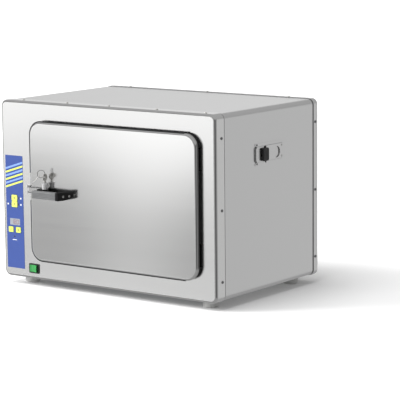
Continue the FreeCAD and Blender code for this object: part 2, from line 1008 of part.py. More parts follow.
def guide_plate():
    """Raised cover with a brim at its top and bottom, a round outlet and a slot for the stem."""
    x0 = right_x - casing_in
    rise_x = x0 + guide_rise + guide_t
    y0 = front_y + vent_y - guide_before
    y1 = front_y + vent_y + guide_behind
    z0 = low_z + vent_z - guide_below
    z1 = low_z + vent_z + guide_above
    brim = guide_brim
    profile = [
        (z0, x0),
        (z0, x0 + guide_t),
        (z0 + brim - guide_t, x0 + guide_t),
        (z0 + brim, rise_x),
        (z1 - brim, rise_x),
        (z1 - brim + guide_t, x0 + guide_t),
        (z1, x0 + guide_t),
        (z1, x0),
        (z1 - brim, x0),
        (z1 - brim - guide_t, rise_x - guide_t),
        (z0 + brim + guide_t, rise_x - guide_t),
        (z0 + brim, x0),
    ]
    cover = prism([(x, z) for z, x in profile], 1, y0, y1 - y0)
    z_mid = low_z + vent_z
    slot_y0 = front_y + knob_y - shutter_travel - stem_w / 2 - shutter_play
    slot_y1 = front_y + knob_y + shutter_close + stem_w / 2 + shutter_play
    half = stem_h / 2 + shutter_play
    cutters = [
        tube_bore(vent_r, x0 - overrun, rise_x + overrun, round_sides),
        box(
            x0 + guide_rise - fit_gap, rise_x + overrun, slot_y0, slot_y1,
            z_mid - half, z_mid + half,
        ),
    ]
    for y in (y0, y1):
        for z in (z0 + brim, z1 - brim):
            half = guide_relief
            relief = (y - half, y + half, z - half, z + half)
            cutters.append(box(x0 - overrun, rise_x + overrun, *relief))
    for seat in rivet_seats() + stop_seats():
        cutters.append(shank_hole(rivet_r, seat.sub(V(guide_t + fit_gap, 0, 0)), V(1, 0, 0), overrun))
    return without(cover, cutters)


def rivet_seats():
    """Rivets through the front end of both brims."""
    x = right_x - casing_in + guide_t
    y = front_y + vent_y - guide_before + rivet_inset
    half = guide_brim / 2
    z0 = low_z + vent_z - guide_below + half - fit_gap
    z1 = low_z + vent_z + guide_above - half + fit_gap
    return [V(x, y, z0), V(x, y, z1)]


def stop_seats():
    """Rivets through the raised part, behind the shutter's end."""
    x = right_x - casing_in + guide_rise + guide_t
    y = front_y + vent_y + guide_behind - stop_inset
    z0 = low_z + vent_z - guide_below
    height = guide_below + guide_above
    return [V(x, y, z0 + share * height) for share in stop_rise_shares]


def guide_rivets():
    inward = V(-1, 0, 0)
    short = [
        screw(seat, inward, rivet_r, guide_t - fit_gap, rivet_head_r, rivet_head_h)
        for seat in rivet_seats()
    ]
    long = [
        screw(seat, inward, rivet_r, guide_rise + guide_t - fit_gap, rivet_head_r, rivet_head_h)
        for seat in stop_seats()
    ]
    return short + long


def vent_shutter():
    """Sliding plate under the guide, with the stem that carries the knob."""
    x0 = right_x - casing_in + shutter_play
    z = low_z + vent_z
    half = shutter_h / 2
    line_y = front_y + vent_y
    blade = box(
        x0, x0 + shutter_t, line_y - shutter_before, line_y + shutter_behind, z - half, z + half,
    )
    y = front_y + knob_y
    stem_x = right_x - casing_in + guide_rise + guide_t + shutter_play
    stem = box(x0, stem_x, y - stem_w / 2, y + stem_w / 2, z - stem_h / 2, z + stem_h / 2)
    return fused([blade, stem])


def vent_knob():
    """Rounded grip on a thin upright rib."""
    x0 = right_x - casing_in + guide_rise + guide_t + shutter_play
    y = front_y + knob_y
    z = low_z + vent_z
    half = knob_w / 2
    rise = knob_h / 2
    grip = soft_plate(0, x0, x0 + knob_t, y - half, y + half, z - rise, z + rise, knob_r)
    rib = box(x0, x0 + rib_rise, y - rib_t / 2, y + rib_t / 2, z - rib_h / 2, z + rib_h / 2)
    return fused([grip, rib])


# Door

def door_outer():
    return pan(
        1, door_face_y, door_rim_y, door_x0, door_x1, door_z0, door_z1,
        door_corner_r, door_edge_r, door_skin_t, edge_steps,
    )


def plug_sides():
    return (
        chamber_x0 + plug_play,
        chamber_x1 - plug_play,
        chamber_z0 + plug_play,
        chamber_z1 - plug_play,
    )


def door_liner():
    """Inner panel: a flat margin with a drawn plug that enters the chamber mouth."""
    inset = door_skin_t + fit_gap
    margin = slab(
        door_x0 + inset, door_x1 - inset, door_rim_y - liner_t, door_rim_y,
        door_z0 + inset, door_z1 - inset, door_corner_r - inset,
    )
    x0, x1, z0, z1 = plug_sides()
    corner = chamber_corner_r - plug_play
    tip = front_y + plug_depth
    plug = soft_plate(1, door_rim_y - liner_t, tip, x0, x1, z0, z1, corner)
    hollow = soft_plate(
        1, door_rim_y - overrun, tip - liner_t, x0 + liner_t, x1 - liner_t,
        z0 + liner_t, z1 - liner_t, corner - liner_t,
    )
    notches = []
    for z in hinge_centres():
        reach = hinge_r + hinge_knuckle_gap
        half = hinge_len / 2 + hinge_knuckle_gap
        deep_y = door_rim_y - 2 * liner_t
        notches.append(box(hinge_x - reach, door_x1, deep_y, front_y, z - half, z + half))
    holes = [hinge_screw_hole(seat) for seat in door_leaf_screw_seats()]
    return without(margin.fuse(plug), [hollow] + notches + holes)


def door_lagging():
    """Insulation between the door's skins, with its corners cut to clear their bends."""
    inset = door_skin_t + door_edge_r
    rear_y = door_rim_y - liner_t - fit_gap
    sheet = cut_corner_block(
        door_x0 + inset, door_x1 - inset, door_face_y + door_skin_t + fit_gap, rear_y,
        door_z0 + inset, door_z1 - inset, door_lagging_cut,
    )
    x0, x1, z0, z1 = plug_sides()
    wall = liner_t + fit_gap
    fill = cut_corner_block(
        x0 + wall, x1 - wall, rear_y - door_skin_t, front_y + plug_depth - wall,
        z0 + wall, z1 - wall, plug_fill_cut,
    )
    room = []
    for z in hinge_centres():
        half = hinge_len / 2 + hinge_knuckle_gap
        x0 = hinge_x - hinge_r - hinge_leaf_w
        deep_y = rear_y - hinge_screw_len
        room.append(box(x0, door_x1, deep_y, rear_y + overrun, z - half, z + half))
    return without(sheet.fuse(fill), room)


def gasket_ring():
    outer = slab(
        door_x0 + gasket_edge, door_x1 - gasket_edge, door_rim_y, front_y,
        door_z0 + gasket_edge, door_z1 - gasket_edge, door_corner_r - gasket_edge,
    )
    lip = gasket_lip
    inner = soft_plate(
        1, door_rim_y - overrun, front_y + overrun, chamber_x0 - lip, chamber_x1 + lip,
        chamber_z0 - lip, chamber_z1 + lip, chamber_corner_r + lip,
    )
    cutters = [inner]
    y0 = door_rim_y - overrun
    y1 = front_y + overrun
    play = gasket_notch / 2
    for z in hinge_centres():
        half = hinge_len / 2 + play
        x0 = hinge_x - hinge_r - hinge_leaf_w - play
        cutters.append(box(x0, door_x1, y0, y1, z - half, z + half))
    for x0, x1, z0, z1 in catch_places():
        cutters.append(box(x0 - play, x1 + play, y0, y1, z0 - play, z1 + play))
    return without(outer, cutters)


def catch_places():
    """Magnetic catches at the door's free edge: x0, x1, z0, z1 of each."""
    x0 = door_x0 + catch_inset
    places = []
    for share in catch_rise_shares:
        z = door_z0 + share * door_h
        places.append((x0, x0 + catch_w, z - catch_h / 2, z + catch_h / 2))
    return places


def catches():
    return [
        box(x0, x1, door_rim_y + catch_gap, front_y, z0, z1)
        for x0, x1, z0, z1 in catch_places()
    ]


# Hinges

def hinge_centres():
    return [door_z0 + hinge_end, door_z1 - hinge_end]


def knuckle_spans(z):
    """Knuckles on one pin: the panel leaf's is below and the door leaf's is above."""
    length = hinge_len / hinge_knuckles
    low = z - hinge_len / 2
    gap = hinge_knuckle_gap / 2
    starts = [low + i * length for i in range(hinge_knuckles)]
    return [(start + gap, start + length - gap) for start in starts]


def knuckle(z0, z1, web_y):
    """Rolled barrel with the web that joins it to its leaf."""
    barrel = peg(hinge_r, V(hinge_x, hinge_y, z0), V(0, 0, 1), z1 - z0, pin_sides)
    web = box(hinge_x - hinge_r, hinge_x - hinge_r + hinge_web, hinge_y, web_y, z0, z1)
    return fused([barrel, web])


def hinge_leaf(z, number, plate_y0, plate_y1, web_y):
    """Leaf plate with one knuckle."""
    x0 = hinge_x - hinge_r - hinge_leaf_w
    x1 = hinge_x - hinge_r + hinge_web
    z0, z1 = knuckle_spans(z)[number]
    plate_x1 = hinge_x - hinge_r - hinge_knuckle_gap
    leaf = fused([
        box(x0, plate_x1, plate_y0, plate_y1, z - hinge_len / 2, z + hinge_len / 2),
        box(x0, x1, plate_y0, plate_y1, z0, z1),
        knuckle(z0, z1, web_y),
    ])
    bore = rod(hinge_pin_r + plug_run, V(hinge_x, hinge_y, z - hinge_len), V(0, 0, 1), 2 * hinge_len)
    return leaf.cut(bore)


def panel_leaf_screw_seats():
    x = hinge_x - hinge_r - hinge_leaf_w * (1 - panel_screw_share)
    seats = []
    for z in hinge_centres():
        for rise in (-panel_screw_rise_share, panel_screw_rise_share):
            seats.append(V(x, front_y - hinge_leaf_t, z + rise * hinge_len))
    return seats


def door_leaf_screw_seats():
    x = hinge_x - hinge_r - hinge_leaf_w * (1 - door_screw_share)
    seats = []
    for z in hinge_centres():
        for rise in (-door_screw_rise_share, door_screw_rise_share):
            seats.append(V(x, door_rim_y + hinge_leaf_t, z + rise * hinge_len))
    return seats


def hinge_screw_hole(seat):
    return shank_hole(hinge_screw_r, seat.sub(V(0, 2 * overrun, 0)), V(0, 1, 0), 4 * overrun)


def panel_hinge_leaves():
    leaves = []
    for z in hinge_centres():
        leaf = hinge_leaf(z, 0, front_y - hinge_leaf_t, front_y, front_y - hinge_leaf_t / 2)
        leaves.append(without(leaf, [hinge_screw_hole(seat) for seat in panel_leaf_screw_seats()]))
    return leaves


def door_hinge_leaves():
    leaves = []
    for z in hinge_centres():
        plate_y1 = door_rim_y + hinge_leaf_t
        leaf = hinge_leaf(z, 1, door_rim_y, plate_y1, door_rim_y + hinge_leaf_t / 2)
        leaves.append(without(leaf, [hinge_screw_hole(seat) for seat in door_leaf_screw_seats()]))
    return leaves


def hinge_pins():
    return [
        peg(hinge_pin_r, V(hinge_x, hinge_y, z - hinge_len / 2), V(0, 0, 1), hinge_len, pin_sides)
        for z in hinge_centres()
    ]


def panel_hinge_screws():
    return [
        screw(seat, V(0, 1, 0), hinge_screw_r, hinge_screw_len, hinge_screw_head_r, hinge_screw_head_h)
        for seat in panel_leaf_screw_seats()
    ]


def door_hinge_screws():
    return [
        screw(seat, V(0, -1, 0), hinge_screw_r, hinge_screw_len, hinge_screw_head_r, hinge_screw_head_h)
        for seat in door_leaf_screw_seats()
    ]


# Handle

def handle_span():
    """Grip's faces: x0, x1, y0, y1, z0, z1."""
    y0 = front_y - grip_front
    z0 = low_z + grip_low
    x0 = left_x + grip_left
    return x0, x0 + grip_len, y0, y0 + grip_t, z0, z0 + grip_h


def handle_grip():
    """Rounded bar with grooves along its face, hollow at its right end for the leg's tongue."""
    x0, x1, y0, y1, z0, z1 = handle_span()
    bar = soft_plate(0, x0, x1, y0, y1, z0, z1, grip_round)
    cutters = [tongue(grip_tongue_play)]
    for share in grip_groove_shares:
        z = z0 + share * grip_h
        half = grip_groove / 2
        deep_y = y0 + grip_groove
        cutters.append(box(x0 - overrun, x1 + overrun, y0 - overrun, deep_y, z - half, z + half))
    return without(bar, cutters)


def tongue(grow):
    x0, x1, y0, y1, z0, z1 = handle_span()
    inset = grip_wall - grow
    start = x1 - grip_tongue - grow
    return box(start, x1 + overrun, y0 + inset, y1 - inset, z0 + inset, z1 - inset)


def handle_leg():
    """Right leg: a slanted end that runs back from the grip to a round foot on the door."""
    x0, x1, y0, y1, z0, z1 = handle_span()
    low = z0 - leg_grow
    high = z1 + leg_grow
    foot_x = x1 + leg_len
    inner_x = x1 + leg_wall
    profile = [
        (x1, y0),
        (x1 + leg_face, y0),
        (foot_x, front_y - leg_foot_y),
        (foot_x, door_face_y),
        (inner_x, door_face_y),
        (inner_x, front_y - leg_reach),
        (x1, y1),
    ]
    body = prism(profile, 2, low, high - low)
    half = (high - low) / 2
    plan = box(x1 - overrun, foot_x - half, y0 - overrun, door_face_y, low, high)
    depth = door_face_y - y0 + overrun
    end = peg(half, V(foot_x - half, y0 - overrun, low + half), V(0, 1, 0), depth, round_sides)
    body = body.common(fused([plan, end]))
    return fused([body, tongue(0)])


def leg_screw_seats():
    """Screws in the slanted face of the leg."""
    x0, x1, y0, y1, z0, z1 = handle_span()
    start = V(x1 + leg_face, y0, (z0 + z1) / 2)
    end = V(x1 + leg_len, front_y - leg_foot_y, (z0 + z1) / 2)
    run = end.sub(start)
    inward = V(-run.y, run.x, 0)
    inward.normalize()
    return [(start + run * share, inward) for share in leg_screw_shares]


def handle_screws():
    pieces = []
    for seat, inward in leg_screw_seats():
        pieces.append(peg(leg_screw_r, seat.sub(inward * leg_screw_h), inward, leg_screw_h))
    return pieces


def lock_centre(z):
    return V(left_x + grip_left + lock_inset, front_y - lock_y, z)


def lock_leg_top():
    return low_z + grip_low + grip_h + lock_leg_rise


def lock_leg():
    """Left leg: a post behind the grip with a round boss that holds the lock."""
    x0, x1, y0, y1, z0, z1 = handle_span()
    top = lock_leg_top()
    left = x0 + lock_leg_inset
    post = box(left, left + lock_leg_w, y1 + fit_gap, door_face_y, z0, top)
    boss = peg(lock_boss_r, lock_centre(z0), V(0, 0, 1), top - z0, round_sides)
    body = fused([post, boss])
    trim = box(left - overrun, x1, y0, y1 + fit_gap, z0 - overrun, top + overrun)
    hollow = peg(lock_r + fit_gap, lock_centre(z0 + lock_floor), V(0, 0, 1), top, round_sides)
    return without(body, [trim, hollow, bolt_channel(bolt_play)])


def lock_barrel():
    """Chrome housing that stands on the leg; the turning plug runs in its bore."""
    top = lock_leg_top()
    z0 = low_z + grip_low + lock_floor
    shell = peg(lock_r, lock_centre(z0), V(0, 0, 1), top + lock_h - z0, round_sides)
    bore_len = top + lock_h - z0 + 2 * overrun
    bore = rod(plug_r + plug_run, lock_centre(z0 - overrun), V(0, 0, 1), bore_len)
    return without(shell, [bore, bolt_channel(bolt_play)])


def bolt_span():
    """Bolt's faces at rest: x0, x1, y0, y1, z0, z1."""
    y = front_y - bolt_y
    z0 = low_z + bolt_low
    return (
        door_x0 - keeper_gap + bolt_rest,
        lock_centre(z0).x - plug_r - bolt_play,
        y - bolt_t / 2,
        y + bolt_t / 2,
        z0,
        z0 + bolt_h,
    )


def bolt_channel(grow):
    x0, x1, y0, y1, z0, z1 = bolt_span()
    return box(x0 - overrun, x1 + grow, y0 - grow, y1 + grow, z0 - grow, z1 + grow)


def lock_bolt():
    x0, x1, y0, y1, z0, z1 = bolt_span()
    return box(x0, x1, y0, y1, z0, z1)


def bolt_sleeve():
    """Steel sleeve on the door face that guides the bolt from the lock to the door's edge."""
    x0, x1, y0, y1, z0, z1 = bolt_span()
    grow = bolt_play + sleeve_t
    leg_x = left_x + grip_left + lock_leg_inset
    outer = box(door_x0 + sleeve_inset, leg_x, y0 - grow, door_face_y, z0 - grow, z1 + grow)
    return outer.cut(bolt_channel(bolt_play))


def keeper():
    """Bent strap on the front panel with the slot that the bolt enters."""
    x0, x1, y0, y1, z0, z1 = bolt_span()
    right = door_x0 - keeper_gap
    mid = (z0 + z1) / 2
    low = mid - keeper_h / 2
    high = mid + keeper_h / 2
    tip = y0 - bolt_play - sleeve_t
    wall = box(right - keeper_t, right, tip, front_y, low, high)
    foot = box(right - keeper_w, right, front_y - keeper_t, front_y, low, high)
    slot = box(
        right - keeper_t - overrun, right + overrun, y0 - bolt_play, y1 + bolt_play,
        z0 - bolt_play, z1 + bolt_play,
    )
    return fused([wall, foot]).cut(slot)


# Keys

def flat_key(blade):
    """Key in the Y-Z plane: blade down from the bow's underside at zero, hole near its top."""
    half = key_t / 2
    bow = peg(key_bow_r, V(-half, 0, key_bow_rise), V(1, 0, 0), key_t, bow_sides)
    shank = box(-half, half, -key_blade_w / 2, key_blade_w / 2, -blade, key_bow_rise)
    hole = peg(key_hole_r, V(-overrun, 0, 0) + key_hole(), V(1, 0, 0), 2 * overrun, bow_sides)
    return fused([bow, shank]).cut(hole)


def key_hole():
    """Centre of the hole in the bow of the flat key."""
    lean = math.radians(key_hole_lean)
    return V(0, -key_hole_out * math.sin(lean), key_bow_rise + key_hole_out * math.cos(lean))


def key_base():
    """Underside of the bow of the key that is in the lock."""
    return lock_centre(lock_leg_top() + lock_h + plug_top + key_bow_gap)


def ring_point():
    """Point where the ring passes through the key's hole."""
    return key_base() + key_hole()


def ring_out(degrees):
    """Direction in the ring's plane; zero is to the left and positive rises."""
    angle = math.radians(degrees)
    turn = math.radians(ring_turn)
    return V(-math.cos(turn) * math.cos(angle), -math.sin(turn) * math.cos(angle), math.sin(angle))


def lock_plug():
    """Turning plug of the lock with a slot that takes the key's blade."""
    top = lock_leg_top() + lock_h
    z0 = low_z + grip_low + lock_floor
    body = rod(plug_r, lock_centre(z0), V(0, 0, 1), top + plug_top - z0)
    centre = lock_centre(0)
    half_w = key_blade_w / 2 + fit_gap
    half_t = key_t / 2 + fit_gap
    slot = box(
        centre.x - half_t, centre.x + half_t, centre.y - half_w, centre.y + half_w,
        top + plug_top - key_blade_in - fit_gap, top + overrun,
    )
    return body.cut(slot)


def door_key():
    base = key_base()
    blade = base.z - (lock_leg_top() + lock_h + plug_top) + key_blade_in
    key = flat_key(blade)
    key.translate(base)
    return key


def ring_centre():
    return ring_point() + ring_out(ring_rise) * ring_r


def key_ring():
    """Flat-wire ring through the holes of both keys."""
    half = ring_wire / 2
    turn = math.radians(ring_turn)
    normal = V(math.sin(turn), -math.cos(turn), 0)
    start = ring_centre() - normal * half
    outer = peg(ring_r + half, start, normal, ring_wire, ring_sides)
    return outer.cut(peg(ring_r - half, start - normal, normal, ring_wire + overrun, ring_sides))


def spare_key():
    """Second key on the ring; its blade points away from the ring's centre."""
    key = flat_key(spare_blade)
    away = ring_out(spare_angle)
    along_ring = ring_out(spare_side)
    hole = key_hole()
    matrix = FreeCAD.Matrix()
    side = along_ring.cross(away * -1)
    matrix.A11, matrix.A21, matrix.A31 = along_ring.x, along_ring.y, along_ring.z
    matrix.A12, matrix.A22, matrix.A32 = -side.x, -side.y, -side.z
    matrix.A13, matrix.A23, matrix.A33 = -away.x, -away.y, -away.z
    key.translate(hole * -1)
    key.Placement = FreeCAD.Placement(matrix).multiply(key.Placement)
    key.translate(ring_centre() + away * (ring_r + spare_hang))
    return key


# Control film, keys, display, indicators

def pads():
    return {"upper": upper_pad, "lower": lower_pad, "minus": minus_pad, "plus": plus_pad}


def control_film():
    x0 = left_x + film_left
    z0 = low_z + film_low
    z1 = low_z + film_top
    sheet = box(x0, x0 + film_w, front_y - film_t, front_y, z0, z1)
    cutters = [front_window(pad, pad_play, overrun) for pad in pads().values()]
    cutters += [front_window(record, fit_gap, overrun) for record in led_places]
    cutters.append(front_window(display_window_place, fit_gap, overrun))
    return without(sheet, cutters)


def key_pad(record):
    """Key cap with a flange behind the panel."""
    x0, x1, z0, z1 = place(record)
    back_face = front_y + panel_t + pad_seat
    rear = back_face + pad_flange_t
    cap = cut_corner_block(x0, x1, front_y - film_t - pad_proud, rear, z0, z1, pad_cut)
    grow = pad_play + pad_flange
    z_room = pad_play / 2
    flange = box(x0 - grow, x1 + grow, back_face, rear, z0 + z_room, z1 - z_room)
    return fused([cap, flange])


def board_face_y():
    return front_y + panel_t + board_back


def pad_back_y():
    return front_y + panel_t + pad_seat + pad_flange_t


def display_lens():
    x0, x1, z0, z1 = place(display_window_place)
    return box(x0, x1, front_y - film_t, front_y - film_t + display_lens_t, z0, z1)


def display_module():
    x0, x1, z0, z1 = place(display_window_place)
    grow = display_wall
    y0 = front_y + panel_t + fit_gap
    block = box(x0 - grow, x1 + grow, y0, board_face_y(), z0 - grow, z1 + grow)
    recess_y = front_y - film_t + display_lens_t + fit_gap
    g = fit_gap
    return block.cut(box(x0 - g, x1 + g, y0 - overrun, recess_y, z0 - g, z1 + g))


def status_leds():
    leds = []
    for record in led_places:
        x0, x1, z0, z1 = place(record)
        lens = box(x0, x1, front_y - film_t, front_y + panel_t + led_step, z0, z1)
        base = box(
            x0 + led_step, x1 - led_step, front_y + panel_t, board_face_y(),
            z0 + led_step, z1 - led_step,
        )
        leds.append(fused([lens, base]))
    return leds


def tact_switches():
    """Switch under each key: a square body with a round plunger that the key presses."""
    pieces = []
    tip_y = pad_back_y() + pad_travel + tact_gap
    for record in pads().values():
        x0, x1, z0, z1 = place(record)
        x = (x0 + x1) / 2
        z = (z0 + z1) / 2
        half = tact_size / 2
        body = box(x - half, x + half, tip_y + tact_pin_h, board_face_y(), z - half, z + half)
        pin = peg(tact_pin_r, V(x, tip_y, z), V(0, 1, 0), tact_pin_h)
        pieces.append(fused([body, pin]))
    return pieces


def board_post_places():
    x0 = left_x + board_left + board_post_inset
    x1 = left_x + board_left + board_w - board_post_inset
    z0 = low_z + board_low + board_post_inset
    z1 = low_z + board_low + board_h - board_post_inset
    return [(x, z) for x in (x0, x1) for z in (z0, z1)]


def control_board():
    y0 = board_face_y()
    x0 = left_x + board_left
    z0 = low_z + board_low
    return box(x0, x0 + board_w, y0, y0 + board_t, z0, z0 + board_h)


def board_posts():
    y0 = front_y + panel_t
    return [
        peg(board_post_r, V(x, y0, z), V(0, 1, 0), board_face_y() - y0)
        for x, z in board_post_places()
    ]


# Power switch

def switch_frame():
    """Bezel's outline: x0, x1, z0, z1."""
    x0 = left_x + switch_left
    z0 = low_z + switch_low
    return x0, x0 + switch_w, z0, z0 + switch_h


def switch_cutout():
    x0, x1, z0, z1 = switch_frame()
    wall = switch_bezel_wall - switch_body_wall
    return box(x0 + wall, x1 - wall, front_y - overrun, front_y + overrun, z0 + wall, z1 - wall)


def rocker_axis():
    x0, x1, z0, z1 = switch_frame()
    return V((x0 + x1) / 2, front_y + rocker_back, (z0 + z1) / 2)


def switch_body():
    x0, x1, z0, z1 = switch_frame()
    bezel = cut_corner_block(x0, x1, front_y - switch_bezel_t, front_y, z0, z1, switch_bezel_cut)
    inset = switch_bezel_wall - switch_body_wall + fit_gap
    block = box(x0 + inset, x1 - inset, front_y, front_y + switch_depth, z0 + inset, z1 - inset)
    wall = switch_bezel_wall
    throat = box(
        x0 + wall, x1 - wall, front_y - switch_bezel_t - overrun, front_y + switch_throat,
        z0 + wall, z1 - wall,
    )
    tabs = []
    pitch = (switch_w - 2 * wall) / switch_tabs
    z = (z0 + z1) / 2
    for number in range(switch_tabs):
        x = x0 + wall + pitch / 2 + number * pitch
        y0 = front_y + switch_depth
        half_t = switch_tab_t / 2
        half_w = switch_tab_w / 2
        tabs.append(box(x - half_t, x + half_t, y0, y0 + switch_tab_h, z - half_w, z + half_w))
    axis = rocker_axis()
    pivot_len = switch_h - 2 * wall + switch_body_wall
    pivot = rod(rocker_axle_r + rocker_run, axis - V(0, 0, pivot_len / 2), V(0, 0, 1), pivot_len)
    return without(fused([bezel, block] + tabs), [throat, pivot])


def power_rocker():
    """Lit rocker with a dished face, lying on its pressed side."""
    x0, x1, z0, z1 = switch_frame()
    inset = switch_bezel_wall + rocker_play
    axis = rocker_axis()
    crest = front_y - switch_bezel_t - rocker_crest
    middle = front_y - switch_bezel_t
    lean = (axis.y - crest) * math.sin(math.radians(rocker_tilt))
    half_w = switch_w / 2 - inset - lean
    y_back = axis.y + rocker_axle_r
    low = z0 + inset
    start = V(axis.x - half_w, crest, low)
    end = V(axis.x + half_w, crest, low)
    heel_left = V(axis.x - half_w / 2, y_back, low)
    heel_right = V(axis.x + half_w / 2, y_back, low)
    edges = [
        Part.Arc(start, V(axis.x, middle, low), end).toShape(),
        Part.LineSegment(end, heel_right).toShape(),
        Part.LineSegment(heel_right, heel_left).toShape(),
        Part.LineSegment(heel_left, start).toShape(),
    ]
    body = Part.Face(Part.Wire(edges)).extrude(V(0, 0, switch_h - 2 * inset))
    axle_len = switch_h - 2 * switch_bezel_wall + switch_body_wall - 2 * fit_gap
    axle = rod(rocker_axle_r, axis - V(0, 0, axle_len / 2), V(0, 0, 1), axle_len)
    shape = fused([body, axle])
    shape.rotate(axis, V(0, 0, 1), -rocker_tilt)
    return shape


# Power board and mains inlet

def power_board_frame():
    x = left_x + bulkhead_x - power_post_h
    y0 = back_y - power_board_back
    z0 = low_z + power_board_z
    return x, y0, y0 + power_board_w, z0, z0 + power_board_h


def power_board():
    x, y0, y1, z0, z1 = power_board_frame()
    return box(x - power_board_t, x, y0, y1, z0, z1)


def power_posts():
    x, y0, y1, z0, z1 = power_board_frame()
    inset = power_post_inset
    return [
        peg(power_post_r, V(x, y, z), V(1, 0, 0), power_post_h)
        for y in (y0 + inset, y1 - inset)
        for z in (z0 + inset, z1 - inset)
    ]


def relay():
    x, y0, y1, z0, z1 = power_board_frame()
    face = x - power_board_t
    y = y0 + power_part_gap
    z = z0 + power_part_gap
    return box(face - relay_h, face, y, y + relay_w, z, z + relay_l)


def transformer():
    x, y0, y1, z0, z1 = power_board_frame()
    face = x - power_board_t
    y = y0 + power_part_gap
    z = z1 - power_part_gap - transformer_l
    return box(face - transformer_h, face, y, y + transformer_w, z, z + transformer_l)


def inlet_centre():
    return V(left_x + inlet_x, back_y, low_z + inlet_z)


def inlet_cutout():
    c = inlet_centre()
    half_w = inlet_w / 2 + fit_gap
    half_h = inlet_h / 2 + fit_gap
    y0 = c.y - overrun
    y1 = c.y + overrun
    return box(c.x - half_w, c.x + half_w, y0, y1, c.z - half_h, c.z + half_h)


def inlet_screw_seats():
    c = inlet_centre()
    return [V(c.x + side * inlet_screw_pitch / 2, c.y + inlet_flange_t, c.z) for side in (-1, 1)]


def inlet_screw_holes():
    return [
        peg(inlet_screw_r + screw_play, seat + V(0, overrun, 0), V(0, -1, 0), 3 * overrun)
        for seat in inlet_screw_seats()
    ]


def inlet_outline(grow):
    """Six-sided socket outline: the two lower corners are cut."""
    c = inlet_centre()
    half_w = inlet_hole_w / 2 + grow
    half_h = inlet_hole_h / 2 + grow
    cut = inlet_corner
    return [
        (c.x - half_w + cut, c.z - half_h),
        (c.x + half_w - cut, c.z - half_h),
        (c.x + half_w, c.z - half_h + cut),
        (c.x + half_w, c.z + half_h),
        (c.x - half_w, c.z + half_h),
        (c.x - half_w, c.z - half_h + cut),
    ]


def power_inlet():
    c = inlet_centre()
    half = inlet_flange_w / 2
    flange = cut_corner_block(
        c.x - half, c.x + half, c.y, c.y + inlet_flange_t,
        c.z - inlet_h / 2 - inlet_flange_t, c.z + inlet_h / 2 + inlet_flange_t, inlet_corner,
    )
    body = box(
        c.x - inlet_w / 2, c.x + inlet_w / 2, c.y - inlet_depth, c.y,
        c.z - inlet_h / 2, c.z + inlet_h / 2,
    )
    socket = prism(inlet_outline(0), 1, c.y + inlet_flange_t - inlet_hole_d, inlet_hole_d + overrun)
    return without(fused([flange, body]), [socket] + inlet_screw_holes())


def inlet_pins():
    c = inlet_centre()
    y0 = c.y + inlet_flange_t - inlet_hole_d
    half_t = inlet_pin_t / 2
    half_w = inlet_pin_w / 2
    pins = []
    for number in (-1, 0, 1):
        x = c.x + number * inlet_pin_pitch
        z = c.z + (inlet_pin_rise if number == 0 else -inlet_pin_drop)
        pins.append(
            box(x - half_t, x + half_t, y0, y0 + inlet_pin_len, z - half_w, z + half_w)
        )
    return pins


def inlet_screws():
    length = inlet_flange_t + panel_t + screw_head_h
    return [
        screw(seat, V(0, -1, 0), inlet_screw_r, length, screw_head_r, screw_head_h)
        for seat in inlet_screw_seats()
    ]


write("casing_wrap", [casing_wrap()])
write("base_plate", [base_plate()])
write("front_panel", [front_panel()])
write("back_panel", [back_panel()])
write("flange_screws", flange_screws(front_screw_seats() + back_screw_seats()))
write("feet", feet())
write("foot_screws", foot_screws())
write("chamber", [chamber()])
write("left_rack", [rack(-1)])
write("right_rack", [rack(1)])
write("lower_tray", [tray(tray_levels[0])])
write("upper_tray", [tray(tray_levels[1])])
write("lower_heater", [heater(-1)])
write("upper_heater", [heater(1)])
write("heater_bushes", heater_bushes() + heater_clamps())
write("insulation", [insulation()])
write("support_rails", support_rails())
write("bulkhead", [bulkhead()])
write("temperature_probe", [temperature_probe()])
write("safety_thermostat", [safety_thermostat()])
write("vent_tube", [vent_tube()])
write("vent_guide_plate", [guide_plate()])
write("vent_rivets", guide_rivets())
write("vent_shutter", [vent_shutter()])
write("vent_knob", [vent_knob()])
write("door_outer_skin", [door_outer()])
write("door_inner_liner", [door_liner()])
write("door_insulation", [door_lagging()])
write("door_gasket", [gasket_ring()])
write("door_catches", catches())
write("hinge_panel_leaves", panel_hinge_leaves())
write("hinge_door_leaves", door_hinge_leaves())
write("hinge_pins", hinge_pins())
write("hinge_panel_screws", panel_hinge_screws())
write("hinge_door_screws", door_hinge_screws())
write("handle_grip", [handle_grip()])
write("handle_right_leg", [handle_leg()])
write("handle_screws", handle_screws())
write("handle_lock_leg", [lock_leg()])
write("lock_barrel", [lock_barrel()])
write("lock_plug", [lock_plug()])
write("lock_bolt", [lock_bolt()])
write("bolt_sleeve", [bolt_sleeve()])
write("bolt_keeper", [keeper()])
write("door_key", [door_key()])
write("key_ring", [key_ring()])
write("spare_key", [spare_key()])
write("control_film", [control_film()])
for pad_name, pad_record in pads().items():
    write(pad_name + "_key", [key_pad(pad_record)])
write("display_lens", [display_lens()])
write("display_module", [display_module()])
write("status_leds", status_leds())
write("control_board", [control_board()] + board_posts() + tact_switches())
write("switch_body", [switch_body()])
write("power_rocker", [power_rocker()])
write("power_board", [power_board(), relay(), transformer()] + power_posts())
write("power_inlet", [power_inlet()] + inlet_pins() + inlet_screws())
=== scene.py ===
import bmesh
import bpy
import math
from mathutils import Matrix, Vector


